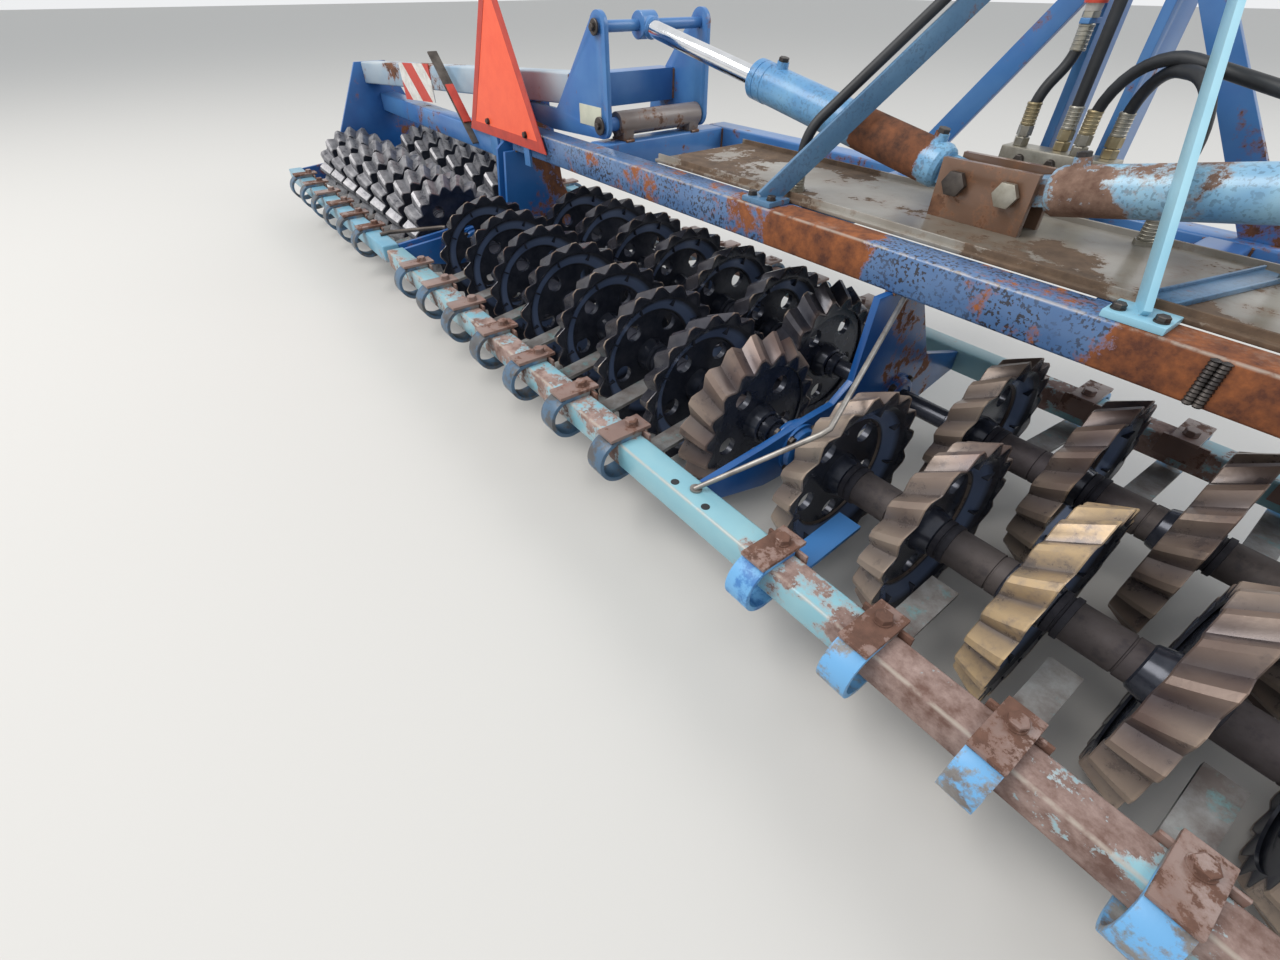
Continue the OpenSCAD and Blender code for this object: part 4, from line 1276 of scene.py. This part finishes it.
def sleeve(bm, start, toward, length=44):
    """The crimped sleeve round the first stretch of a hose."""
    inner, outer = HOSE_D / 2 - 0.2, HOSE_D / 2 + 3.4
    pitch = (length - 8) / CRIMPS
    profile = [(-1, 0), (-1, outer - 2), (1, outer)]
    for k in range(CRIMPS):
        low = 4 + k * pitch
        profile += [(low, outer), (low + 1, outer - 0.9), (low + pitch - 1.5, outer - 0.9),
                    (low + pitch - 0.5, outer)]
    profile += [(length - 2, outer), (length, outer - 1.5), (length, inner), (length - 10, 0)]
    lathe(bm, profile, 24, facing(start, toward), closed=False)


print("a nut measures", round(2 * NUT_CORNER, 1), "mm over its corners")

# %% Set the fittings out
steel_parts, brass_parts = bmesh.new(), bmesh.new()
block(steel_parts, (-120, 560, 630), (120, 620, BLOCK_TOP), 4)
for x in (-110, 80):
    block(steel_parts, (x, 575, 515), (x + 30, 605, 629.8), 2)
block(steel_parts, (-120, 575, 485), (120, 639.8, 514.8), 2)
pair = (steel_parts, brass_parts)
for k, (x, y) in enumerate(STUBS):
    adaptor(pair[k % 2], facing(at(x, y, BLOCK_TOP), UP))
    sleeve(pair[1 - k % 2], at(x, y, STUB_TOP), UP)
for name in ("stay", "right_long", "right_short"):
    end = ROUTES[name][-1]
    lathe(steel_parts, [(0, 19), (9, 19), (10, 17)], 6,
          Matrix.Translation((end.x, end.y, (DECK_TOP + 0.2) * MM)))
    sleeve(steel_parts, end + 9.5 * MM * UP, UP, 40)
cx, cy, cz = COUPLER
on_coupler = facing(at(cx, cy, cz), UP)
sleeve(steel_parts, at(cx, cy, cz - 10.2), -UP, 46)
lathe(steel_parts, [(0.2, 17.5), (10, 17.5), (11, 16)], 6, on_coupler)
for x in (-70, 0, 70):
    bolt("frame", (x, 559.8, 652), (0, -1, 0))
finish_piece("valve_block", steel_parts, "frame", zinc, replaces="hose_block")
finish_piece("brass_fittings", brass_parts, "frame", brass)

# %% Coupler and its caps
caps, coupler = bmesh.new(), bmesh.new()
lathe(coupler, [(11, 15), (20, 16.5), (50, 16.5), (52, 14.5)], 28, on_coupler)
lathe(caps, [(24, 16.5), (24, 21.5), (34, 22.5), (36, 20.5), (36, 16.5), (24, 16.5)], 28,
      on_coupler, closed=False)
lathe(caps, [(44, 20.5), (47, 22.8), (62, 22.8), (67.5, 19), (67.5, 12), (64, 10.5)], 28,
      on_coupler)
STRAP = [(-22, -8, 30), (-29, -12, 40), (-29, -12, 50), (-21, -8, 58)]
sweep_tube(caps, [at(cx + x, cy + y, cz + z) for x, y, z in STRAP], 2.6, 8)
finish_piece("coupler_body", coupler, "frame", grey_cap)
finish_piece("coupler_caps", caps, "frame", red_cap)
print("fittings made for", len(ROUTES), "hoses")

# %% [markdown]
# ## The fold cylinders
# A cylinder is turned work on one axis, so barrel and rod are spun profiles laid along it:
# a welded base, the tube, the ring nut at its mouth and the oil ports, then the bright rod
# and its eye. The pins keep their hex heads in view.

# %% Barrels and rods
HINGE_PIN = (1190, 612)
ANCHOR = Vector((55, 325, 645))
LEVER_PIN = Vector((1200, 325, 864))
CYL_LEN = (LEVER_PIN - ANCHOR).length
PORTS = (100, 585)
HEAD_30 = hex_bolt("head_30", 44, 13, 0)


def fold_cylinder(side, paint):
    name = SIDES[side]
    barrel_body, rod_body = "barrel_" + name, "rod_" + name
    along = LEVER_PIN - ANCHOR
    along.x *= side
    along.normalize()
    depth = Vector((0, 1, 0))
    wide = depth.cross(along)
    base = at(side * ANCHOR.x, ANCHOR.y, ANCHOR.z)
    place = Matrix.Translation(base) @ Matrix((wide, depth, along)).transposed().to_4x4()
    across = Matrix.Rotation(-math.pi / 2, 4, "X")
    upward = Matrix.Rotation(math.copysign(math.pi / 2, wide.z), 4, "Y")
    ports = [place @ Matrix.Translation((0, 0, far * MM)) @ upward for far in PORTS]

    barrel, metal, rod, eye = (bmesh.new() for _ in range(4))
    lathe(barrel, [(58, 34), (62, 40), (68, 42.5), (72, 45), (608, 45), (610, 46.6), (634, 46.6),
                   (635, 45), (637, 45), (638, 46.6), (656, 46.6), (660, 44), (660, 29),
                   (654, 27), (650, 24), (630, 23.5)], 56, place)
    block(barrel, (-26, -25, 0), (26, 25, 66), 4, place)
    lathe(barrel, [(-25, 28), (-23, 30), (23, 30), (25, 28)], 40, place @ across)
    for port in ports:
        lathe(barrel, [(40, 16.5), (52, 15), (58, 15)], 24, port)
        lathe(metal, [(57.8, 13.5), (66, 13.5), (67, 12)], 6, port)
    finish_piece(barrel_body, barrel, barrel_body, paint, replaces="cylinder_barrel_" + name)

    lathe(metal, [(-52, 14.5), (-51, 15), (51, 15), (52, 14.5)], 32, place @ across)
    finish_piece("pin_" + name, metal, barrel_body, dark_steel)
    stand_bolts("pin_head_" + name, barrel_body, dark_steel if side < 0 else zinc, HEAD_30,
                [(base - 51.5 * MM * depth, -depth)])

    lathe(rod, [(480, 21.5), (482, 22.5), (CYL_LEN - 34, 22.5)], 48, place)
    finish_piece(rod_body, rod, rod_body, chrome, replaces="cylinder_rod_" + name)
    centre = place @ Matrix.Translation((0, 0, CYL_LEN * MM)) @ across
    lathe(eye, [(-30, 34), (-28, 36), (28, 36), (30, 34)], 44, centre)
    lathe(eye, [(CYL_LEN - 46, 23.5), (CYL_LEN - 40, 29), (CYL_LEN - 20, 29)], 40, place)
    lathe(eye, [(-31, 15), (31, 15)], 32, centre)
    finish_piece("rod_eye_" + name, eye, rod_body, blue if side < 0 else barrel_rusty)
    print("cylinder", name, round(CYL_LEN), "mm from pin to pin")


fold_cylinder(-1, barrel_blue)
fold_cylinder(1, barrel_rusty)

# %% [markdown]
# ## Hinge pins and levers
# The lever plates turn on a thick pin through the hinge tube. Flat end caps keep the pins
# in, and a blank cream label is stuck on the rear plate of the left side.

# %% Caps, label and welds of the levers
LEVER_REAR, LEVER_FRONT = 137, 568
for side, name in SIDES.items():
    body = "wing_" + name
    bm = bmesh.new()
    for x, z, radius in ((*HINGE_PIN, 26), (LEVER_PIN.x, LEVER_PIN.z, 21)):
        for y, way in ((LEVER_REAR, -1), (LEVER_FRONT, 1)):
            lathe(bm, [(0, radius), (5, radius), (6.5, radius - 2)], 32,
                  facing(at(side * x, y - way * 1.5, z), (0, way, 0)))
            bolt(body, (side * x, y + way * 5, z), (0, way, 0))
    finish_piece("pin_caps_" + name, bm, body, dark_steel)
    seams = [((side * x, y, 642), (side * x, y, 733)) for x in (1320, 1400) for y in (161, 544)]
    seams += [((side * 1400.5, y, 655), (side * 1400.5, y, 726)) for y in (181, 269)]
    weld_piece("welds_lever_" + name, body, seams, rusty)
bm = bmesh.new()
block(bm, (-1318, 143.8, 604), (-1190, 145.2, 661), 0.5)
finish_piece("blank_label", bm, "wing_left", label)

# %% [markdown]
# ## Signs
# A slow-vehicle triangle and a striped board hang at the back of the left wing. Their plates
# stay blank. The triangle is a flat sheet with a darker rim folded round its edge, so its
# few corners are worked out once and joined to walls, which needs no modifier.

# %% Triangle, rim and strips
SIGN_X = -1660
SIGN_Z = 515
SIGN_SIDE = 600


def triangle(inset, y):
    """Corners of the sign at depth y, moved in by inset."""
    height = SIGN_SIDE * math.sqrt(3) / 2
    half = SIGN_SIDE / 2 - inset * math.sqrt(3)
    return [at(SIGN_X - half, y, SIGN_Z + inset), at(SIGN_X + half, y, SIGN_Z + inset),
            at(SIGN_X, y, SIGN_Z + height - 2 * inset)]


def walls(bm, loops):
    """Faces between each outline and the next."""
    loops = [[bm.verts.new(corner) for corner in loop] for loop in loops]
    for a, b in zip(loops, loops[1:] + loops[:1]):
        for k in range(3):
            n = (k + 1) % 3
            bm.faces.new((a[k], a[n], b[n], b[k]))


bm = bmesh.new()
low, high = ([bm.verts.new(corner) for corner in triangle(2, y)] for y in (27.6, 29.8))
bm.faces.new(low)
bm.faces.new(high[::-1])
for k in range(3):
    n = (k + 1) % 3
    bm.faces.new((low[k], high[k], high[n], low[n]))
finish_piece("triangle_face", bm, "wing_left", sign, replaces="slow_triangle")
bm = bmesh.new()
walls(bm, (triangle(0, 30), triangle(0, 26.6), triangle(32, 26.6), triangle(32, 30)))
finish_piece("triangle_rim", bm, "wing_left", sign_rim)
bm = bmesh.new()
block(bm, (-1800, 30.2, 445), (-1740, 39.8, 705), 1.5)
block(bm, (-1530, 30.2, 455), (-1490, 39.8, 620), 1.5)
finish_piece("sign_strips", bm, "wing_left", blue)
for x, z in ((-1789, 560), (-1497, 556)):
    bolt("wing_left", (x, 27.4, z), (0, -1, 0))
print("triangle of", SIGN_SIDE, "mm a side")

# %% [markdown]
# ## Rods, reflector and small parts
# A long bent rod guards the middle plate, shorter ones reach to the wings' bars, and a
# reflector leans out behind the left wing. The middle bar has two empty bolt holes, and a
# low bracket lies on the deck beside the right stay.

# %% Guard rods
def bent_rod(name, body, material, points, radius, foot=None):
    """A thin rod through these places, with a round foot where one is given."""
    bm = bmesh.new()
    sweep_tube(bm, [at(*point) for point in points], radius, 12)
    if foot:
        lathe(bm, [(0, 12), (4, 12)], 20, facing(at(*foot), UP))
    finish_piece(name, bm, body, material, 40)
    print(name, 2 * radius, "mm thick")


bent_rod("guard_rod", "frame", grey_rod, [
    (28, 70, 484), (29, 52, 483), (152, -287, 389), (158, -304, 383), (152, -318, 374),
    (20, -463, 241), (13, -474, 234)], 5.2, foot=(13, -470, 230))
for side, name in SIDES.items():
    bent_rod("wing_rod_" + name, "wing_" + name, spring, [
        (side * 1699, -252, 246), (side * 1712, -262, 246), (side * 1800, -440, 238),
        (side * 1803, -470, 234)], 7.5)

# %% Reflector, bar holes and deck bracket
LEAN_FOOT = (-1962, 34, 484)
LEAN_HEAD = (-2250, 30, 752)
lean = facing(at(*LEAN_FOOT), at(*LEAN_HEAD) - at(*LEAN_FOOT))
for name, low, high, bevel, material, slot in (
        ("reflector_bar", (-20, -3.5, -30), (20, 3.5, 385), 1.5, spring, "fittings"),
        ("reflector", (-17, 3.7, 60), (17, 10.5, 230), 2.5, sign_rim, "sign_red")):
    bm = bmesh.new()
    block(bm, low, high, bevel, lean)
    finish_piece(name, bm, "wing_left", material)

bm = bmesh.new()
for x in (-28, 60):
    lathe(bm, [(0, 8.5), (0.6, 8.5)], 20, facing(at(x, -488, 230), UP))
finish_piece("bar_holes", bm, "frame", rubber)
bm = bmesh.new()
lean = Matrix.Translation(at(396, 150, DECK_TOP + 0.2)) @ Matrix.Rotation(-0.26, 4, "Z")
block(bm, (-26, 0, 0), (-21, 315, 9.5), 1.2, lean)
block(bm, (21, 0, 0), (26, 315, 9.5), 1.2, lean)
block(bm, (-20.9, 4, 0), (20.9, 311, 4), 0.8, lean)
finish_piece("deck_bracket", bm, "frame", stay_paint)
print("the reflector's bar is", round((at(*LEAN_HEAD) - at(*LEAN_FOOT)).length, 3), "m long")

# %% Stand all the bolts
for body, places in BOLT_PLACES.items():
    stand_bolts("bolts_" + body, body, dark_steel, BOLT_12, places)
for tool in (CLAMP, BOLT_16, BOLT_12, HEAD_30):
    bpy.data.objects.remove(tool)

# %% Finish
bpy.context.view_layer.update()
